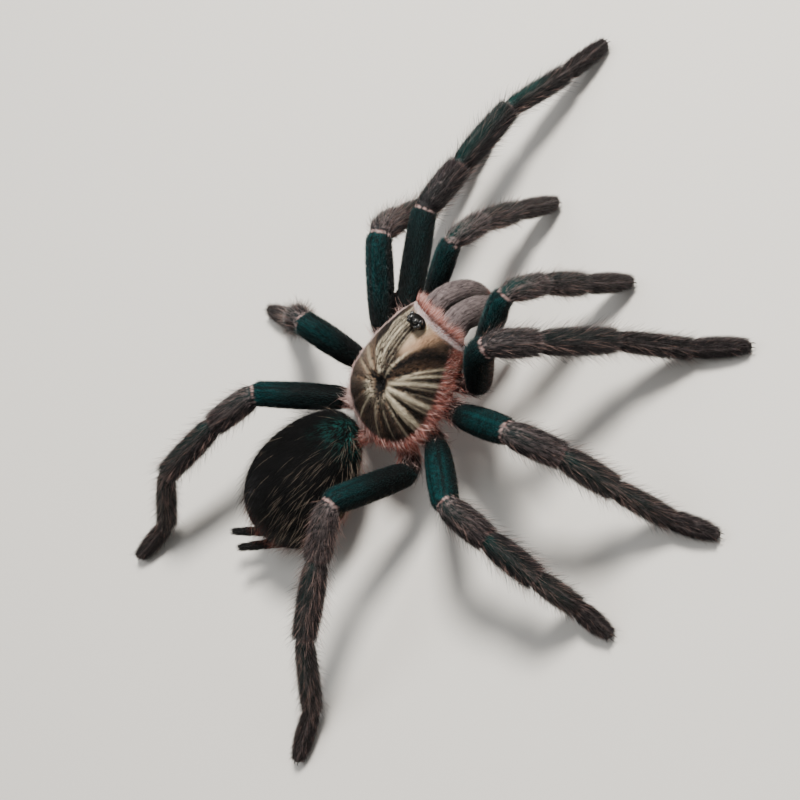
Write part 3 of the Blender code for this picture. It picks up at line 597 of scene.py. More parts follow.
def makeSkin():
    bm = bmesh.new()
    for limb in limbs:
        count = round(limb["length"] / skin["spacing"])
        sweepTube(bm, limb, np.linspace(0, limb["length"], count + 1), skin["sides"], tipRounding)
    for tubes, kind in ((jawTubes, jaws), (spinneretTubes, spinnerets), ([waistTube], waist)):
        for tube in tubes:
            distances = np.linspace(0, tube["length"], kind["steps"])
            sweepTube(bm, tube, distances, kind["sides"], kind["ends"])
    for middle, half, _ in underBody["balls"]:
        addBall(bm, middle, half, bodyPlace)
    across, rings = abdomen["mesh"]
    verts = bmesh.ops.create_uvsphere(bm, u_segments=across, v_segments=rings, radius=1.0)["verts"]
    bmesh.ops.rotate(bm, matrix=Matrix.Rotation(math.radians(90), 3, "X"), verts=verts)
    for vert in verts:
        broad = 1 - abdomen["egg"] * vert.co.y
        vert.co.x *= broad
        vert.co.z *= broad
    bmesh.ops.scale(bm, vec=[half - abdomen["depth"] for half in abdomen["half"]], verts=verts)
    bmesh.ops.transform(bm, matrix=abdomenPlace, verts=verts)
    shell = bmesh.new()
    bmesh.ops.create_circle(shell, cap_ends=False, segments=carapace["spokes"], radius=1.0)
    ring, verts = list(shell.edges), list(shell.verts)
    for step in range(-1, carapace["rings"]):
        share = 1 - max(step, 0) / carapace["rings"]
        if step >= 0:
            ring, verts = nextRing(shell, ring)
        angles = np.array([math.atan2(vert.co.x, vert.co.y) for vert in verts])
        spots = carapaceSpot(angles, np.full(len(verts), share))
        spots[:, :2] *= 1 - skin["depth"] / carapace["meanReach"]
        spots[:, 2] -= skin["depth"]
        if step < 0:
            spots[:, 2] = carapace["under"]
        for vert, spot in zip(verts, spots):
            vert.co = spot
    bmesh.ops.pointmerge(shell, verts=verts, merge_co=(0, 0, carapace["rise"] - carapace["pitDepth"]))
    bmesh.ops.holes_fill(shell, edges=list(shell.edges), sides=0)
    bmesh.ops.transform(shell, matrix=bodyPlace, verts=shell.verts)
    part = bpy.data.meshes.new("shield")
    shell.to_mesh(part)
    shell.free()
    bm.from_mesh(part)
    bpy.data.meshes.remove(part)
    bmesh.ops.triangulate(bm, faces=[face for face in bm.faces if len(face.verts) > 4])
    rough = writePiece("roughSkin", bm, finishes["skin"])
    blend = rough.modifiers.new("Blend", "REMESH")
    blend.mode = "VOXEL"
    blend.voxel_size = skin["voxel"] * mm
    bpy.context.view_layer.update()
    evaluated = rough.evaluated_get(bpy.context.evaluated_depsgraph_get())
    bm = bmesh.new()
    bm.from_mesh(evaluated.to_mesh())
    bpy.data.objects.remove(rough)
    everyWay = {"use_axis_x": True, "use_axis_y": True, "use_axis_z": True}
    for _ in range(skin["smooth"]):
        bmesh.ops.smooth_vert(bm, verts=bm.verts, factor=0.5, **everyWay)
    for vert in bm.verts:
        vert.co.z = max(vert.co.z, 0.0)
    bmesh.ops.scale(bm, vec=(1 / mm,) * 3, verts=bm.verts)
    return writePiece("skin", bm, finishes["skin"])


skinPiece = makeSkin()
skinTree = BVHTree.FromPolygons(
    [vert.co / mm for vert in skinPiece.data.vertices], [face.vertices for face in skinPiece.data.polygons]
)
print("skin:", len(skinPiece.data.polygons), "faces")


# The coat. A tuft is one closed tapered hair: rings of three points, a tip and a cap at its root
hairShapes = {
    "short": {"shares": (0.0,), "sizes": (1.0,)},
    "long": {"shares": (0.0, 0.5), "sizes": (1.0, 0.8)},
}
coat = {
    "sink": 0.12, "buried": 0.5, "overFloor": 0.01, "patch": 0.003, "darkRoot": 0.55, "paleTip": 1.25,
    "margin": 0.04, "chart": 0.46, "widthVary": 0.2,
}


def isBuried(spot):
    near, normal, _, _ = skinTree.find_nearest(spot)
    return (Vector(spot) - near).dot(normal) < -coat["buried"]


def hairPoints(roots, shares, sizes):
    # Rings of three points and a tip for each hair, which bends from its rise to its dip and sways aside
    out, lie = roots["out"], roots["lie"]
    across = unit(np.cross(lie, out))
    lie = unit(lie * np.cos(roots["twist"])[:, None] + across * np.sin(roots["twist"])[:, None])
    across = unit(np.cross(lie, out))
    centre = roots["spot"] - out * coat["sink"]
    rings = []
    before = 0.0
    for share, size in zip(shares, sizes):
        lean = np.radians(roots["rise"] + (roots["dip"] - roots["rise"]) * share)[:, None]
        way = lie * np.cos(lean) + out * np.sin(lean)
        centre = centre + way * (share - before) * roots["length"][:, None]
        centre = centre + across * ((share**2 - before**2) * roots["sway"] * roots["length"])[:, None]
        before = share
        if size == 0.0:
            rings.append(centre[:, None])
            continue
        above = unit(np.cross(across, way))
        for corner in range(3):
            turn = math.radians(90 + 120 * corner)
            edge = across * math.cos(turn) + above * math.sin(turn)
            rings.append((centre + edge * (roots["halfWidth"] * size)[:, None])[:, None])
    verts = np.concatenate(rings, axis=1)
    verts[..., 2] = np.maximum(verts[..., 2], coat["overFloor"])
    return verts


def hairFaces(rings):
    # One hair's triangles: the cap at its root, its sides and its tip
    faces = [(0, 1, 2)]
    for ring in range(rings - 1):
        for corner in range(3):
            a, b = ring * 3 + corner, ring * 3 + (corner + 1) % 3
            faces += [(b, a, a + 3), (b, a + 3, b + 3)]
    last = (rings - 1) * 3
    return np.array(faces + [(last + (corner + 1) % 3, last + corner, last + 3) for corner in range(3)])


def makeHairs(name, finish, shape, roots):
    keep = np.array([not isBuried(spot) for spot in roots["spot"]])
    roots = {key: value[keep] for key, value in roots.items()}
    shares = (*hairShapes[shape]["shares"], 1.0)
    sizes = (*hairShapes[shape]["sizes"], 0.0)
    verts = hairPoints(roots, shares, sizes)
    count, perHair = verts.shape[:2]
    index = (np.arange(count)[:, None, None] * perHair + hairFaces(len(shares) - 1)[None]).reshape(-1)
    mesh = bpy.data.meshes.new(name)
    mesh.vertices.add(count * perHair)
    mesh.vertices.foreach_set("co", (verts * mm).astype(np.float32).ravel())
    mesh.loops.add(len(index))
    mesh.loops.foreach_set("vertex_index", index.astype(np.int32))
    mesh.polygons.add(len(index) // 3)
    mesh.polygons.foreach_set("loop_start", np.arange(0, len(index), 3, dtype=np.int32))
    mesh.update(calc_edges=True)

    # Its own tint, darker at the root and paler at the tip
    shareOf = np.repeat(shares, [1 if size == 0.0 else 3 for size in sizes])
    fade = coat["darkRoot"] + (coat["paleTip"] - coat["darkRoot"]) * shareOf
    colour = np.ones((count, perHair, 4), dtype=np.float32)
    shaded = roots["tint"][:, None] * fade[None, :, None] * roots["shade"][:, None, None]
    colour[..., :3] = np.clip(shaded, 0, 1)
    mesh.attributes.new("tint", "FLOAT_COLOR", "POINT").data.foreach_set("color", colour.ravel())

    # A small patch of the map at its root's place on the skin's chart
    aside = np.array([0.0 if i == perHair - 1 else (i % 3 - 1) * 0.5 for i in range(perHair)])
    patch = joined(aside, shareOf - 0.5) * coat["patch"]
    flat = (roots["chart"][:, None] + patch[None]).reshape(-1, 2)
    mesh.uv_layers.new(name="OFBake").data.foreach_set("uv", flat[index].astype(np.float32).ravel())
    mesh.materials.append(finishes[finish])
    mesh.shade_smooth()
    piece = addObject(name, mesh)
    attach(piece, "root")
    print(name + ":", count, "hairs,", len(index) // 3, "triangles")
    return roots


def spread(roots, look, count):
    # The hair's own chance: how long it is, how it leans, and how dark it is
    vary = draw.uniform(-1, 1, (6, count))
    roots["length"] = look["length"] * (1 + look.get("vary", 0.25) * vary[0])
    roots["halfWidth"] = look["halfWidth"] * (1 + coat["widthVary"] * vary[1])
    roots["rise"] = look["lean"][0] + look.get("ruffle", 8) * vary[2]
    roots["dip"] = look["lean"][1] + look.get("ruffle", 8) * vary[2]
    roots["twist"] = np.radians(look.get("twist", 14)) * vary[3]
    roots["sway"] = look.get("sway", 0.1) * vary[4]
    roots["shade"] = 1 + look.get("shade", 0.28) * vary[5]
    return roots


def gather(parts):
    return {key: np.concatenate([part[key] for part in parts]) for key in parts[0]}


def chartBox(column, columns, row, rows):
    gap = coat["margin"] / 2
    return (
        column / columns + gap / columns, row / rows + gap / rows,
        (column + 1) / columns - gap / columns, (row + 1) / rows - gap / rows,
    )


def inBox(box, across, up):
    left, bottom, right, top = box
    return joined(left + (right - left) * across, bottom + (top - bottom) * up)


def tubeRoots(tube, low, high, look, tintOf, box, count=None):
    # Roots wound evenly round a tube from low to high, charted along it and round it
    middle = np.array([(low + high) / 2])
    width, height = tube["size"](middle)
    area = math.pi * (width[0] + height[0]) * (high - low)
    count = count or int(area * look["perArea"])
    order = np.arange(count)
    share = (order + chances(count)) / count
    distance = low + (high - low) * share
    turn = wrapped(order * goldenAngle + draw.uniform(-0.5, 0.5, count))
    centre, lie, across, above = framesOn(tube, distance)
    width, height = [size[:, None] for size in tube["size"](distance)]
    cosine, sine = np.cos(turn)[:, None], np.sin(turn)[:, None]
    roots = {"spot": centre + across * sine * width + above * cosine * height}
    roots["out"] = unit(across * sine / width + above * cosine / height)
    roots["lie"] = lie
    roots["tint"] = tintOf(share, turn)
    roots["chart"] = inBox(box, share, turn / math.tau + 0.5)
    roots = spread(roots, look, count)
    # Shorter at the joints, and longer or shorter towards the segment's end
    roots["length"] *= 1 - look.get("joint", 0) * (bump(0, 0.03, share) + bump(1, 0.05, share))
    roots["length"] *= 1 + look.get("grow", 0) * (share - 0.5)
    return roots


# Markings along a limb: tones laid by the share of the segment's length, from its start, and by the
# degrees away from its top
def limbTint(limb, segment, share, turn):
    aside = np.degrees(turn)
    away = np.abs(aside)
    top = np.clip(np.cos(turn), 0, 1)
    chance = chances(len(share))
    pale = 0.85 * (chance < limb["pale"])
    streak = 0.5 + 0.5 * np.sin(turn * 23 + 3 * np.sin(turn * 5 + limb["marks"][1]))
    if segment == "femur":
        # The femur's teal hair, with its sheen painted on the upper side in deep teal and teal
        amount, start = limb["teal"]
        return over(
            "ink",
            ("deepTeal", 0.3 * ramp(0.1, 0.9, share) * top),
            ("teal", amount * ramp(start, start + 0.5, share) * top * (0.3 + 0.7 * chance) * streak),
            ("under", 0.6 * ramp(115, 150, away) * (chance > 0.4)),
            ("kneeRing", ramp(0.987, 0.993, share)),
        )
    if segment == "tarsus":
        return over(
            "foot",
            ("umber", 0.8 * streak),
            ("paleStripe", 0.3 * pale + 0.35 * bump(34, 5, away)),
            ("footUnder", 0.8 * ramp(90, 140, away)),
        )
    # Teal sheen painted on the upper side of the patella, tibia and metatarsus, over their teal hair
    tealSheen = limb["tealSheen"][limb["segments"].index(segment) - 1]
    under = 0.4 * ramp(110, 150, away)
    if segment == "patella":
        sideLines = 0.6 * bump(30, 4, away) * ramp(0.0, 0.12, share) * (limb["pale"] > 0.1)
        return over(
            "umber",
            ("mauve", 0.3 + 1.6 * limb["pale"] + bump(0, 16, away)),
            ("night", 0.75 * streak * ramp(6, 16, away)),
            ("tealSheenLine", tealSheen * bump(0, 40, away) * bump(0.2, 0.4, share)),
            ("paleStripe", pale + sideLines),
            ("under", under),
            ("jointRing", 0.9 - ramp(0.002, 0.01, share) + ramp(0.975, 0.99, share)),
        )
    if segment == "tibia":
        topLine = 0.4 * tealSheen * bump(-6, 4, aside) * ramp(0.1, 0.3, share)
        return over(
            "night",
            ("mauve", 0.55 * bump(62, 34, away) * streak + 0.6 * limb["pale"]),
            ("tealSheenLine", tealSheen * bump(0, 36, away) * (1 - 0.6 * share) * (0.5 + 0.5 * chance)),
            ("paleStripe", 0.5 * pale + topLine),
            ("under", under),
            ("jointRing", ramp(0.98, 0.992, share) + 0.7 - ramp(0.0, 0.012, share)),
        )
    return over(
        "umber",
        ("night", streak),
        ("tealSheenLine", tealSheen * bump(-10, 34, aside) * (1 - ramp(0.4, 0.75, share))),
        ("paleStripe", 0.5 * pale + 0.5 * bump(30, 4, away) * ramp(0.1, 0.3, share)),
        ("footUnder", 0.6 * ramp(100, 150, away)),
        ("jointRing", 0.8 - ramp(0.0, 0.014, share) + ramp(0.98, 0.99, share)),
    )


velvetLook = {"halfWidth": 0.029, "lean": (20, 18), "joint": 0.75, "twist": 9}
velvet = {
    "femur": {"perArea": 21.0, "length": 1.15, "halfWidth": 0.034, "lean": (24, 20), "joint": 0.6, "ruffle": 6},
    "patella": dict(velvetLook, perArea=24.0, length=1.85),
    "tibia": dict(velvetLook, perArea=24.0, length=2.1, lean=(20, 19)),
    "metatarsus": dict(velvetLook, perArea=25.0, length=1.95, lean=(22, 20), joint=0.5, grow=0.5),
    "tarsus": dict(velvetLook, perArea=27.0, length=1.55, lean=(24, 22), joint=0.6, twist=10, grow=-0.4),
}
bristle = {"halfWidth": 0.022, "vary": 0.4, "twist": 20, "ruffle": 12, "sway": 0.12}
bristles = {
    "femur": dict(bristle, count=200, length=1.6, lean=(58, 40), halfWidth=0.016),
    "patella": dict(bristle, count=360, length=3.0, lean=(52, 34)),
    "tibia": dict(bristle, count=560, length=3.4, lean=(54, 36)),
    "metatarsus": dict(bristle, count=460, length=2.9, lean=(50, 32)),
    "tarsus": dict(bristle, count=200, length=1.9, lean=(42, 28), halfWidth=0.019),
}


def bristleTint(limb, segment, share, turn):
    chance = chances(len(share))
    if segment == "femur":
        sides = ramp(60, 110, np.degrees(np.abs(turn)))
        return over("ink", ("haze", 0.9 * sides * (chance < 0.7)))
    return over("darkBristle", ("bristle", 0.9 * (chance < 0.1 + limb["pale"])))


limbCoats = {
    "femur_velvet": ("femur",), "leg_hair": ("patella", "tibia"), "foot_hair": ("metatarsus", "tarsus"),
}
palpBristles = 0.7    # their size and number, in shares of a leg's


def segmentRoots(limb, segment, look, box, tintOf, count=None):
    index = limb["segments"].index(segment)
    low, high = limb["marks"][index], limb["marks"][index + 1]
    return tubeRoots(limb, low, high, look, partial(tintOf, limb, segment), box, count)


allRoots = []
for side in sides:
    own = [limb for limb in limbs if limb["name"].startswith(side)]
    for coatName, segments in limbCoats.items():
        parts = []
        for row, limb in enumerate(own):
            present = [segment for segment in segments if segment in limb["segments"]]
            for column, segment in enumerate(present):
                box = chartBox(column, len(segments), row, len(own))
                parts.append(segmentRoots(limb, segment, velvet[segment], box, limbTint))
        allRoots.append(makeHairs(side + "_" + coatName, coatName, "short", gather(parts)))
    parts = []
    for row, limb in enumerate(own):
        size = palpBristles if "palp" in limb["name"] else 1.0
        for column, segment in enumerate(limb["segments"]):
            look = dict(bristles[segment], length=bristles[segment]["length"] * size)
            box = chartBox(column, len(legs["segments"]), row, len(own))
            count = int(look["count"] * size)
            parts.append(segmentRoots(limb, segment, look, box, bristleTint, count))
    makeHairs(side + "_leg_bristles", "leg_hair", "long", gather(parts))


# The shield's coat: stripes that run out from the pit, seen round it from ahead towards the right
shieldCoat = {
    "count": 40000, "length": 1.05, "halfWidth": 0.029, "lean": (14, 9), "twist": 6, "ruffle": 5, "shade": 0.34,
    # the share of the reach where it starts, and from where to where ahead it gets how much shorter
    "from": 0.0, "ahead": (13.6, 15.2, 0.6),
}
fringe = {
    "count": 3400, "length": 3.1, "halfWidth": 0.032, "lean": (30, 4), "vary": 0.35, "twist": 42, "sway": 0.4,
    "from": 0.9, "ahead": (11.5, 13.5, 0.75),
}
shieldMarks = {
    # middle in degrees, half width in millimetres, where it starts from the pit, and how pale it is
    "streaks": (
        (40, 0.2, 5.0, 0.7), (45, 0.24, 3.6, 0.95), (53, 0.34, 1.8, 1.0), (58.5, 0.14, 6.0, 0.4),
        (66, 0.14, 5.0, 0.4), (74.5, 0.46, 1.5, 1.0), (81, 0.18, 5.5, 0.5), (96, 0.5, 1.8, 0.9),
        (101.5, 0.2, 3.5, 0.6), (112, 0.2, 4.0, 0.5), (128, 0.16, 4.0, 0.4), (152, 0.2, 3.0, 0.5),
        (-74, 0.4, 3.0, 0.4), (-92, 0.3, 3.5, 0.3),
    ),
    # middle and half width in degrees, and how dark
    "bands": (
        (42.5, 1.2, 0.9), (49, 2.2, 1.0), (62, 8.0, 1.0), (87, 6.0, 1.0), (106, 4.0, 0.9),
        (128, 13.0, 0.75), (178, 12.0, 0.6),
    ),
    # lines left of the middle: how far out, half width in millimetres, and how pale they are
    "lines": (
        (6.0, 0.22, 0.95), (5.1, 0.14, 0.85), (4.1, 0.18, 0.95), (3.1, 0.24, 1.0), (2.2, 0.1, 0.55),
        (1.3, 0.1, 0.5), (0.4, 0.1, 0.4),
    ),
    # where the pale band before the eyes starts, and how much later at the left corner
    "clypeus": (14.2, 0.6),
    # the reach from the pit that fills the chart
    "chartReach": 17,
}


def shieldTint(angle, share):
    count = len(angle)
    reach = shieldReach(angle) * share
    x, y = reach * np.sin(angle), reach * np.cos(angle)
    chance = chances(count)
    degrees = np.degrees(angle) + draw.normal(0, 1, count) * 5 / np.maximum(reach, 3)
    tint = over(
        "bark",
        ("hazel", 0.8 * (chance > 0.5)),
        ("tan", 0.35 * bump(-88, 30, degrees) * (chance > 0.3)),
    )
    for middle, width, amount in shieldMarks["bands"]:
        tint = over(tint, ("pit", amount * bump(middle, width, degrees) * (chance < 0.85)))
    for middle, width, start, amount in shieldMarks["streaks"]:
        aside = reach * np.sin(np.radians(degrees - middle)) / width
        there = amount * bump(0, 1, aside) * ramp(start, start + 1, reach) * (np.abs(degrees - middle) < 60)
        tint = over(tint, ("cream", there))
    nearPit = bump(2.9, 0.9, reach) * ramp(85, 120, np.abs(degrees)) * (chance > 0.35)
    tint = over(tint, ("cream", 0.6 * nearPit * (degrees < 0) + 0.3 * nearPit))

    # The head part, up to the groove that runs from the pit to the front corners
    groove = 17 + 0.08 * reach**2
    inHead = (1 - ramp(groove - 9, groove - 6, degrees)) * ramp(-58, -52, degrees)
    spreading = np.maximum(1 - np.exp(-np.maximum(y, 0.01) / 2.2), 0.05) * (1 - 0.25 * ramp(9, 14, y))
    out = -x / spreading + draw.normal(0, 0.03, count)
    paler = 0.5 * ramp(11.5, 14, y) * (chance > 0.35)
    head = over("pit", ("hazel", 0.35 * (chance > 0.7) + paler))
    for middle, width, amount in shieldMarks["lines"]:
        head = over(head, ("cream", amount * bump(middle, width, out) * ramp(1.8, 2.6, reach)))
    behind = x + 0.4 * (13.5 - y)
    cheek = over(
        "tan",
        ("cream", 0.5 * (1 - ramp(1.5, 4, behind))),
        ("hazel", 0.8 * ramp(3.6, 5.5, behind)),
        ("bark", 0.9 * ramp(4.6, 7.0, behind)),
    )
    head = head + (cheek - head) * (ramp(6.0, 8.5, y) * ramp(-0.6, 0.6, x))[:, None]
    tint = tint + (head - tint) * inHead[:, None]
    besideGroove = bump(0, 0.2, reach * np.sin(np.radians(groove - 10 - degrees)))

    # The edges: a dark line and a pale pink band on the left, rose on the right and behind
    left = ramp(-0.5, -2, x) * ramp(-172, -160, degrees)
    inwards = np.where(y > 0, marginHalfWidth(y) - np.abs(x), shieldReach(angle) - reach)
    clypeus, later = shieldMarks["clypeus"]
    clypeus = clypeus + later * ramp(-2, -6, x)
    arms = bump(-75, 16, degrees) * (reach < 3.2) + bump(150, 14, degrees) * (reach < 2.4)
    return over(
        tint,
        ("pit", bump(groove, 4.0 + 22 / np.maximum(reach, 2), degrees) * (chance < 0.95)),
        ("cream", besideGroove * bump(6, 3, reach)),
        ("bark", 0.95 * bump(2.1, 0.22, inwards) * left),
        ("paleMargin", ramp(1.9, 1.6, inwards) * left),
        ("redDark", 0.5 * bump(1.0, 0.15, inwards) * left * (chance > 0.4)),
        ("rose", 0.8 * ramp(1.4, 0.5, inwards) * (1 - left) * (chance < 0.8)),
        ("pit", 0.6 * bump(clypeus - 0.1, 0.14, y) * ramp(1, -1, x)),
        ("clypeus", ramp(clypeus, clypeus + 0.3, y)),
        ("pit", 1 - ramp(1.0, 1.9, reach) + 0.9 * arms),
    )


def fringeTint(angle, share):
    chance = chances(len(share))
    return over(
        "rose",
        ("redDark", 0.9 * (chance < 0.35)),
        ("paleMargin", 0.8 * (chance > 0.75)),
        ("paleMargin", 0.85 * ramp(0.2, -0.3, np.sin(angle))),
    )


def shieldRoots(look, tintOf):
    # Evenly over the shield, thinned where the margin is near
    low, count = look["from"], look["count"]
    tries = count * 3
    angle = wrapped(np.arange(tries) * goldenAngle + draw.uniform(-0.05, 0.05, tries))
    share = np.sqrt(low * low + (1 - low * low) * chances(tries))
    reach = shieldReach(angle)
    picked = np.flatnonzero(chances(tries) < (reach / carapace["front"]) ** 2)[:count]
    angle, share, reach = angle[picked], share[picked], reach[picked]
    spot = carapaceSpot(angle, share)
    farther = carapaceSpot(angle, np.minimum(share + 0.01, 0.999))
    outwards = farther - carapaceSpot(angle, np.minimum(share, 0.989))
    roundways = carapaceSpot(angle + 0.01, share) - carapaceSpot(angle - 0.01, share)
    out = unit(np.cross(roundways, outwards))
    out = out * np.sign(out[:, 2:] + 1e-9)
    spot[:, 2] -= skin["depth"]
    roots = {"spot": inBody(spot), "out": turnInBody(out), "lie": turnInBody(unit(outwards))}
    way = joined(np.sin(angle), np.cos(angle))
    roots["chart"] = 0.5 + coat["chart"] * (share * reach / shieldMarks["chartReach"])[:, None] * way
    roots["tint"] = tintOf(angle, share)
    start, end, loss = look["ahead"]
    shorter = 1 - loss * ramp(start, end, share * reach * np.cos(angle))
    return spread(roots, look, len(picked)), angle, share, shorter


roots, angle, share, shorter = shieldRoots(shieldCoat, shieldTint)
roots["length"] *= np.clip(share * 4, 0.35, 1) * shorter
allRoots.append(makeHairs("carapace_hair", "carapace_hair", "short", roots))
roots, angle, share, shorter = shieldRoots(fringe, fringeTint)
roots["length"] *= 0.45 + 0.55 * ramp(0.45, -0.1, np.cos(angle) - 0.5 * np.sin(angle))
roots["length"] *= shorter
makeHairs("carapace_fringe", "carapace_hair", "long", roots)


# The abdomen: black velvet under long pale hairs
abdomenVelvet = {"count": 35000, "length": 1.3, "halfWidth": 0.036, "lean": (24, 20), "twist": 14}
abdomenLong = {
    "count": 4200, "length": 4.2, "halfWidth": 0.016, "lean": (38, 16), "vary": 0.4, "twist": 16,
    "ruffle": 12, "sway": 0.15, "bare": 0.97,
}


def backwards(out):
    return np.array([0.0, -1.0, 0.0]) - out * -out[:, 1:2]


def eggRoots(look, tintOf):
    count = look["count"]
    order = np.arange(count)
    along = 1 - 2 * (order + chances(count)) / count
    bare = look.get("bare", 0.995)
    order, along = order[np.abs(along) < bare], along[np.abs(along) < bare]
    around = wrapped(order * goldenAngle + draw.uniform(-0.3, 0.3, len(order)))
    across = np.sqrt(1 - along**2)
    ball = joined(across * np.sin(around), along, across * np.cos(around))
    half = np.array(abdomen["half"])
    broad = 1 - abdomen["egg"] * along
    spot = ball * (half - abdomen["depth"])
    spot[:, 0] *= broad
    spot[:, 2] *= broad
    out = unit(ball / half)
    roots = {"spot": inBody(spot, abdomenPlace), "out": turnInBody(out, abdomenPlace)}
    roots["lie"] = turnInBody(unit(backwards(out)), abdomenPlace)
    roots["tint"] = tintOf(along, ball)
    roots["chart"] = 0.5 + coat["chart"] * joined(along, around / math.pi)
    return spread(roots, look, len(order))


def abdomenTint(along, ball):
    chance = chances(len(along))
    fleck = bump(0.88, 0.2, along) * ramp(-0.1, 0.35, ball[:, 0] + 0.4 * ball[:, 2])
    return over(
        "abdomen",
        ("fleck", 0.9 * fleck * (chance < 0.2)),
        # Painted sheen: grey on the hairs at the rear left
        ("sheenGrey", 0.6 * bump(-0.62, 0.25, along) * bump(-0.35, 0.3, ball[:, 0]) * (chance < 0.4)),
        ("redDark", 0.6 * ramp(0.2, 0.8, -ball[:, 2]) * ramp(-0.75, -0.45, along)),
    )


def abdomenLongTint(along, ball):
    chance = chances(len(along))
    low = ramp(0.1, 0.6, -ball[:, 2]) + 0.6 * ramp(-0.6, -0.9, along)
    return over(
        "abdomen",
        ("longPale", 0.85 * (chance < 0.03 + 0.24 * ramp(0.1, 0.6, ball[:, 0]))),
        ("haze", 0.6 * ramp(0.8, 0.97, np.abs(ball[:, 0])) * (chance > 0.6)),
        ("rose", 0.85 * low * (chance > 0.35)),
    )


roots = eggRoots(abdomenVelvet, abdomenTint)
allRoots.append(makeHairs("abdomen_velvet", "abdomen_velvet", "short", roots))
roots = eggRoots(abdomenLong, abdomenLongTint)
makeHairs("abdomen_long_hair", "abdomen_velvet", "long", roots)


# The jaws: fine grey-mauve hair with dark lines, and the comb over their bases
jawHair = {
    "perArea": 34.0, "length": 1.3, "halfWidth": 0.028, "lean": (14, 9), "twist": 8, "ruffle": 5, "shade": 0.4,
}
jawComb = {
    "count": 2000, "length": 2.5, "halfWidth": 0.026, "lean": (20, -2), "vary": 0.4, "twist": 16,
    "ruffle": 10, "sway": 0.2,
    # how far the hairs turn aside at the corners, and how much shorter they are there
    "fan": 0.6, "cornerLoss": 0.55,
    # from the shield's corner inwards, and from its edge back and down
    "inside": 0.3, "back": (0.3, 0.2), "down": (0.7, 0.8), "archShare": 0.96,
}


def jawTint(sign, share, turn):
    # Dark lines along the jaw, and painted shade in the gap between the two
    chance = chances(len(share))
    lines = 0.5 + 0.5 * np.sin(turn * 27 + 1.8 * np.sin(share * 9 + turn * 2))
    return over(
        "jaw",
        ("jawLine", 0.8 * ramp(0.7, 0.97, lines) + 0.5 * (chance < 0.2)),
        ("jawLine", 0.5 * ramp(0.6, 0.95, share)),
        ("rose", 0.6 * ramp(0.78, 0.97, share) * (chance > 0.5)),
        ("umber", 0.8 * ramp(1.2, 2.0, np.abs(turn))),
        # Painted shade in the gap between the two jaws
        ("pit", 0.95 * ramp(1.0, 1.35, -turn * sign)),
    )


parts = []
for row, (tube, sign) in enumerate(zip(jawTubes, sides.values())):
    box = chartBox(0, 1, row, 2)
    parts.append(tubeRoots(tube, 1.0, tube["length"], jawHair, partial(jawTint, sign), box))
allRoots.append(makeHairs("chelicera_hair", "chelicera_hair", "short", gather(parts)))


def combRoots(look):
    # A row along the shield's front edge, whose hairs fan out over the jaws from corner to corner
    count = look["count"]
    aside = draw.uniform(-1, 1, count)
    behind = chances(count)
    back, farBack = look["back"]
    down, farDown = look["down"]
    x = aside * (marginHalfWidth(carapace["front"]) - look["inside"])
    y = carapace["front"] - back - farBack * behind
    z = carapace["rim"] - down - farDown * behind
    arch = carapaceSpot(np.arctan2(x, y), np.full(count, look["archShare"]))[:, 2]
    z += np.clip(arch - carapace["rim"], 0, 6) * (1 - 0.3 * behind)
    lie = unit(joined(aside * look["fan"], np.ones(count), np.full(count, -0.35)))
    out = unit(joined(aside * 0.2, np.full(count, 0.35), np.ones(count)))
    roots = {"spot": inBody(joined(x, y, z)), "out": turnInBody(out), "lie": turnInBody(lie)}
    chance = chances(count)
    roots["tint"] = over(
        "rose", ("paleMargin", 0.8 * (chance > 0.55)), ("redDark", 0.8 * (chance < 0.22))
    )
    roots["chart"] = 0.5 + 0.4 * joined(aside, behind)
    roots = spread(roots, look, count)
    roots["length"] *= 1 - look["cornerLoss"] * ramp(0.75, 1.0, np.abs(aside))
    return roots


makeHairs("chelicera_comb", "carapace_hair", "long", combRoots(jawComb))


# Coxae, waist, breast and spinnerets
underHair = {"perArea": 12.0, "length": 1.6, "halfWidth": 0.034, "lean": (20, 18), "twist": 26, "shade": 0.4}
underLong = {
    "perArea": 2.6, "length": 3.0, "halfWidth": 0.032, "lean": (40, 10), "twist": 44, "sway": 0.45,
    "vary": 0.35, "waistCount": 260,
}
spinneretHair = dict(underHair, length=0.8, perArea=24)


def coxaTint(limb, share, turn):
    # Pale pink on the left, rose on the right with painted shade that turns it black towards the femur
    chance = chances(len(share))
    tint = over(
        "rose", ("redDark", 0.85 * (chance < 0.35)), ("paleMargin", 0.8 * (chance > 0.72))
    )
    if limb and limb["name"].startswith("left"):
        top = np.clip(np.cos(turn), 0, 1)
        return over(tint, ("paleMargin", 0.7 * top), ("ink", ramp(0.8, 0.95, share)))
    # Painted shade: the right coxae turn black towards the femur
    return over(tint, ("ink", 0.95 * ramp(0.5, 0.75, share) * (chance < 0.9)))


def waistTint(share, turn):
    return coxaTint(None, 0 * share, turn)


def spinneretTint(share, turn):
    return plain("abdomen", len(share))


parts, longParts = [], []
for row, limb in enumerate(limbs):
    box = chartBox(0, 2, row, len(limbs))
    hip = limb["marks"][0]
    parts.append(tubeRoots(limb, 0.0, hip, underHair, partial(coxaTint, limb), box))
    longParts.append(tubeRoots(limb, hip * 0.35, hip, underLong, partial(coxaTint, limb), box))
low, high, box = 0.5, waistTube["length"] - 1, chartBox(1, 2, 0, 8)
parts.append(tubeRoots(waistTube, low, high, underHair, waistTint, box))
longParts.append(tubeRoots(waistTube, low, high, underLong, waistTint, box, underLong["waistCount"]))
for row, tube in enumerate(spinneretTubes):
    box = chartBox(1, 2, 1 + row, 8)
    parts.append(tubeRoots(tube, 0.0, tube["length"], spinneretHair, spinneretTint, box))


def ballArea(half):
    # Close enough for a ball stretched three ways
    a, b, c = half
    power = 1.6
    return 4 * math.pi * (((a * b) ** power + (a * c) ** power + (b * c) ** power) / 3) ** (1 / power)


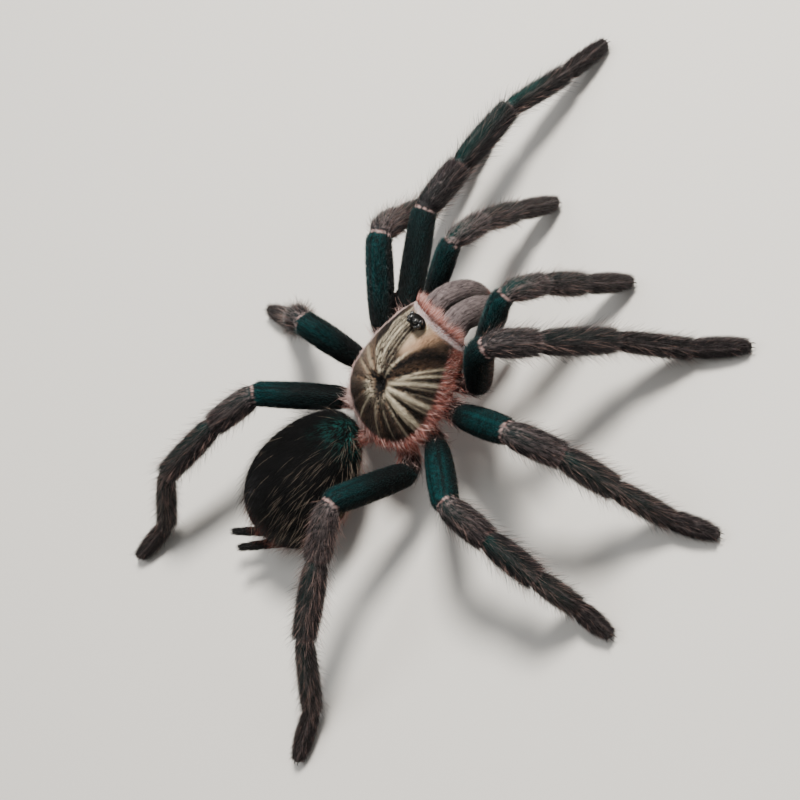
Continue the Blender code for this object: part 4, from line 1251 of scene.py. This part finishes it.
def ballRoots(middle, half, look, tone, box):
    count = int(ballArea(half) * look["perArea"])
    order = np.arange(count)
    up = 1 - 2 * (order + 0.5) / count
    turn = order * goldenAngle
    flat = np.sqrt(1 - up**2)
    ball = joined(flat * np.sin(turn), flat * np.cos(turn), up)
    half = np.array(half)
    out = unit(ball / half)
    roots = {"spot": inBody(ball * half + np.array(middle)), "out": turnInBody(out)}
    roots["lie"] = turnInBody(unit(backwards(out)))
    roots["tint"] = plain(tone, count)
    roots["chart"] = inBox(box, wrapped(turn) / math.tau + 0.5, (up + 1) / 2)
    return spread(roots, look, count)


for row, (middle, half, tone) in enumerate(underBody["balls"]):
    parts.append(ballRoots(middle, half, underHair, tone, chartBox(1, 2, 3 + row, 8)))
allRoots.append(makeHairs("underside_hair", "underside", "short", gather(parts)))
makeHairs("underside_long_hair", "underside", "long", gather(longParts))


# The skin takes its markings from the coat above it, darker
tree = KDTree(sum(len(roots["spot"]) for roots in allRoots))
tints = np.concatenate([roots["tint"] for roots in allRoots])
order = 0
for roots in allRoots:
    for spot in roots["spot"]:
        tree.insert(spot, order)
        order += 1
tree.balance()
nearest = [tree.find(vert.co / mm)[1] for vert in skinPiece.data.vertices]
colour = np.ones((len(nearest), 4), dtype=np.float32)
colour[:, :3] = tints[nearest] * skin["shade"]
skinPiece.data.attributes.new("tint", "FLOAT_COLOR", "POINT").data.foreach_set("color", colour.ravel())
hard = ("eye_mound", "left_fang", "right_fang")
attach(skinPiece, "root")
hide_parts(*[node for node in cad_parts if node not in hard])
print("skin tinted")


# Eight eyes on their mound
eyes = {
    "middle": (0.0, 14.2, 7.0), "half": (2.15, 1.25, 1.45), "mesh": (48, 32),
    "lenses": (
        ((0.66, 0.2, 1.1), (0.58, 0.58, 0.58)), ((1.42, 0.62, 0.72), (0.44, 0.5, 0.46)),
        ((1.58, -0.2, 0.74), (0.4, 0.48, 0.42)), ((1.12, -0.72, 0.86), (0.36, 0.38, 0.36)),
    ),
}
bm = bmesh.new()
addBall(bm, eyes["middle"], eyes["half"], bodyPlace, *eyes["mesh"])
mound = writePiece("eye_mound_skin", bm, glosses["eyeMound"])
bm = bmesh.new()
for sign in sides.values():
    for place, half in eyes["lenses"]:
        middle = Vector(eyes["middle"]) + Vector((place[0] * sign, place[1], place[2]))
        addBall(bm, middle, half, bodyPlace)
lenses = writePiece("eyes", bm, glosses["eyeLens"])
for piece in (mound, lenses):
    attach(piece, "root")
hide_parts("eye_mound")

# Fangs and claws
fangs = {
    "path": (
        (2.65, 22.0, -8.2), (2.65, 22.1, -8.95), (2.65, 21.4, -10.2), (2.55, 19.4, -11.0), (2.45, 17.2, -10.6),
    ),
    "radii": (1.1, 1.1, 0.9, 0.6, 0.08), "steps": 28, "sides": 20,
}
claws = {
    "length": 1.0, "radii": (0.12, 0.096, 0.02), "apart": 0.42, "ahead": 0.4, "above": 0.3, "bend": (0.6, 0.1),
    "drop": 0.5, "overFloor": 0.1, "steps": 7, "sides": 8,
}
bm = bmesh.new()
for sign in sides.values():
    halves = [(radius, radius) for radius in fangs["radii"]]
    path, halves = softened([(x * sign, y, z) for x, y, z in fangs["path"]], halves)
    tube = pathTube(path, halves)
    sweepTube(bm, tube, np.linspace(0, tube["length"], fangs["steps"]), fangs["sides"])
fangPiece = writePiece("fangs", bm, glosses["fang"])
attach(fangPiece, "root")
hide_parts("left_fang", "right_fang")
bm = bmesh.new()
for limb in limbs:
    end = np.array([limb["length"]])
    centre, lie, across, above = [value[0] for value in framesOn(limb, end)]
    for sign in sides.values():
        start = centre + across * sign * claws["apart"] + lie * claws["ahead"] + above * claws["above"]
        bend = start + lie * claws["length"] * claws["bend"][0] + above * claws["bend"][1]
        tip = start + lie * claws["length"] - above * claws["drop"]
        tip[2] = max(tip[2], claws["overFloor"])
        tube = makeTube((start, bend, tip), None)
        tube["size"] = lambda distance: [np.interp(distance, tube["travelled"], claws["radii"])] * 2
        sweepTube(bm, tube, np.linspace(0, tube["length"], claws["steps"]), claws["sides"])
clawPiece = writePiece("claws", bm, glosses["claw"])
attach(clawPiece, "root")
print("eyes, fangs and claws made")


# Floor, lights and camera
studio = {
    "floor": 4.0, "floorTone": (226, 222, 215), "floorRoughness": 0.9, "sky": 0.24,
    "camera": (155.98, 33.4, 250.7), "right": (0.571, 0.654, -0.496), "up": (-0.603, 0.744, 0.287),
    "lens": 68.79, "sensor": 36, "target": (-6.0, -4.0, 10.0),
    "lights": (
        # way from the spider along the picture's right, up and towards the viewer, distance, size, power
        ("key", (-0.15, 0.85, 0.75), 700, 190, 10.0, (1.0, 0.97, 0.92)),
        ("fill", (0.9, 0.1, 0.8), 800, 500, 1.6, (0.95, 0.97, 1.0)),
        ("rim", (-0.9, 0.3, 0.45), 800, 420, 2.0, (0.95, 0.98, 1.0)),
    ),
}
bm = bmesh.new()
bmesh.ops.create_grid(bm, x_segments=1, y_segments=1, size=studio["floor"] / 2 / mm)
floorFinish, _, shader = newFinish("floor")
setSockets(shader, {"Base Color": (*linear(studio["floorTone"]), 1), "Roughness": studio["floorRoughness"]})
floorPiece = writePiece("floor", bm, floorFinish)

world = bpy.data.worlds.new("studio")
world.use_nodes = True
setSockets(world.node_tree.nodes["Background"], {"Color": (1, 1, 1, 1), "Strength": studio["sky"]})
bpy.context.scene.world = world

right = Vector(studio["right"]).normalized()
back = right.cross(Vector(studio["up"])).normalized()
up = back.cross(right)
target = Vector(studio["target"]) * mm
for name, (toRight, toUp, toBack), distance, size, power, tone in studio["lights"]:
    lamp = bpy.data.lights.new(name, "AREA")
    lamp.shape = "DISK"
    lamp.size = size * mm
    lamp.energy = power
    lamp.color = tone
    lampObject = addObject(name, lamp)
    way = (right * toRight + up * toUp + back * toBack).normalized()
    lampObject.location = target + way * distance * mm
    lampObject.rotation_euler = way.to_track_quat("Z", "Y").to_euler()

lens = bpy.data.cameras.new("camera")
lens.lens = studio["lens"]
lens.sensor_width = studio["sensor"]
lens.clip_start = 0.01
view = addObject("camera", lens)
stands = Matrix.Translation(Vector(studio["camera"]) * mm)
view.matrix_world = stands @ Matrix((right, up, back)).transposed().to_4x4()
bpy.context.scene.camera = view
print("studio ready")
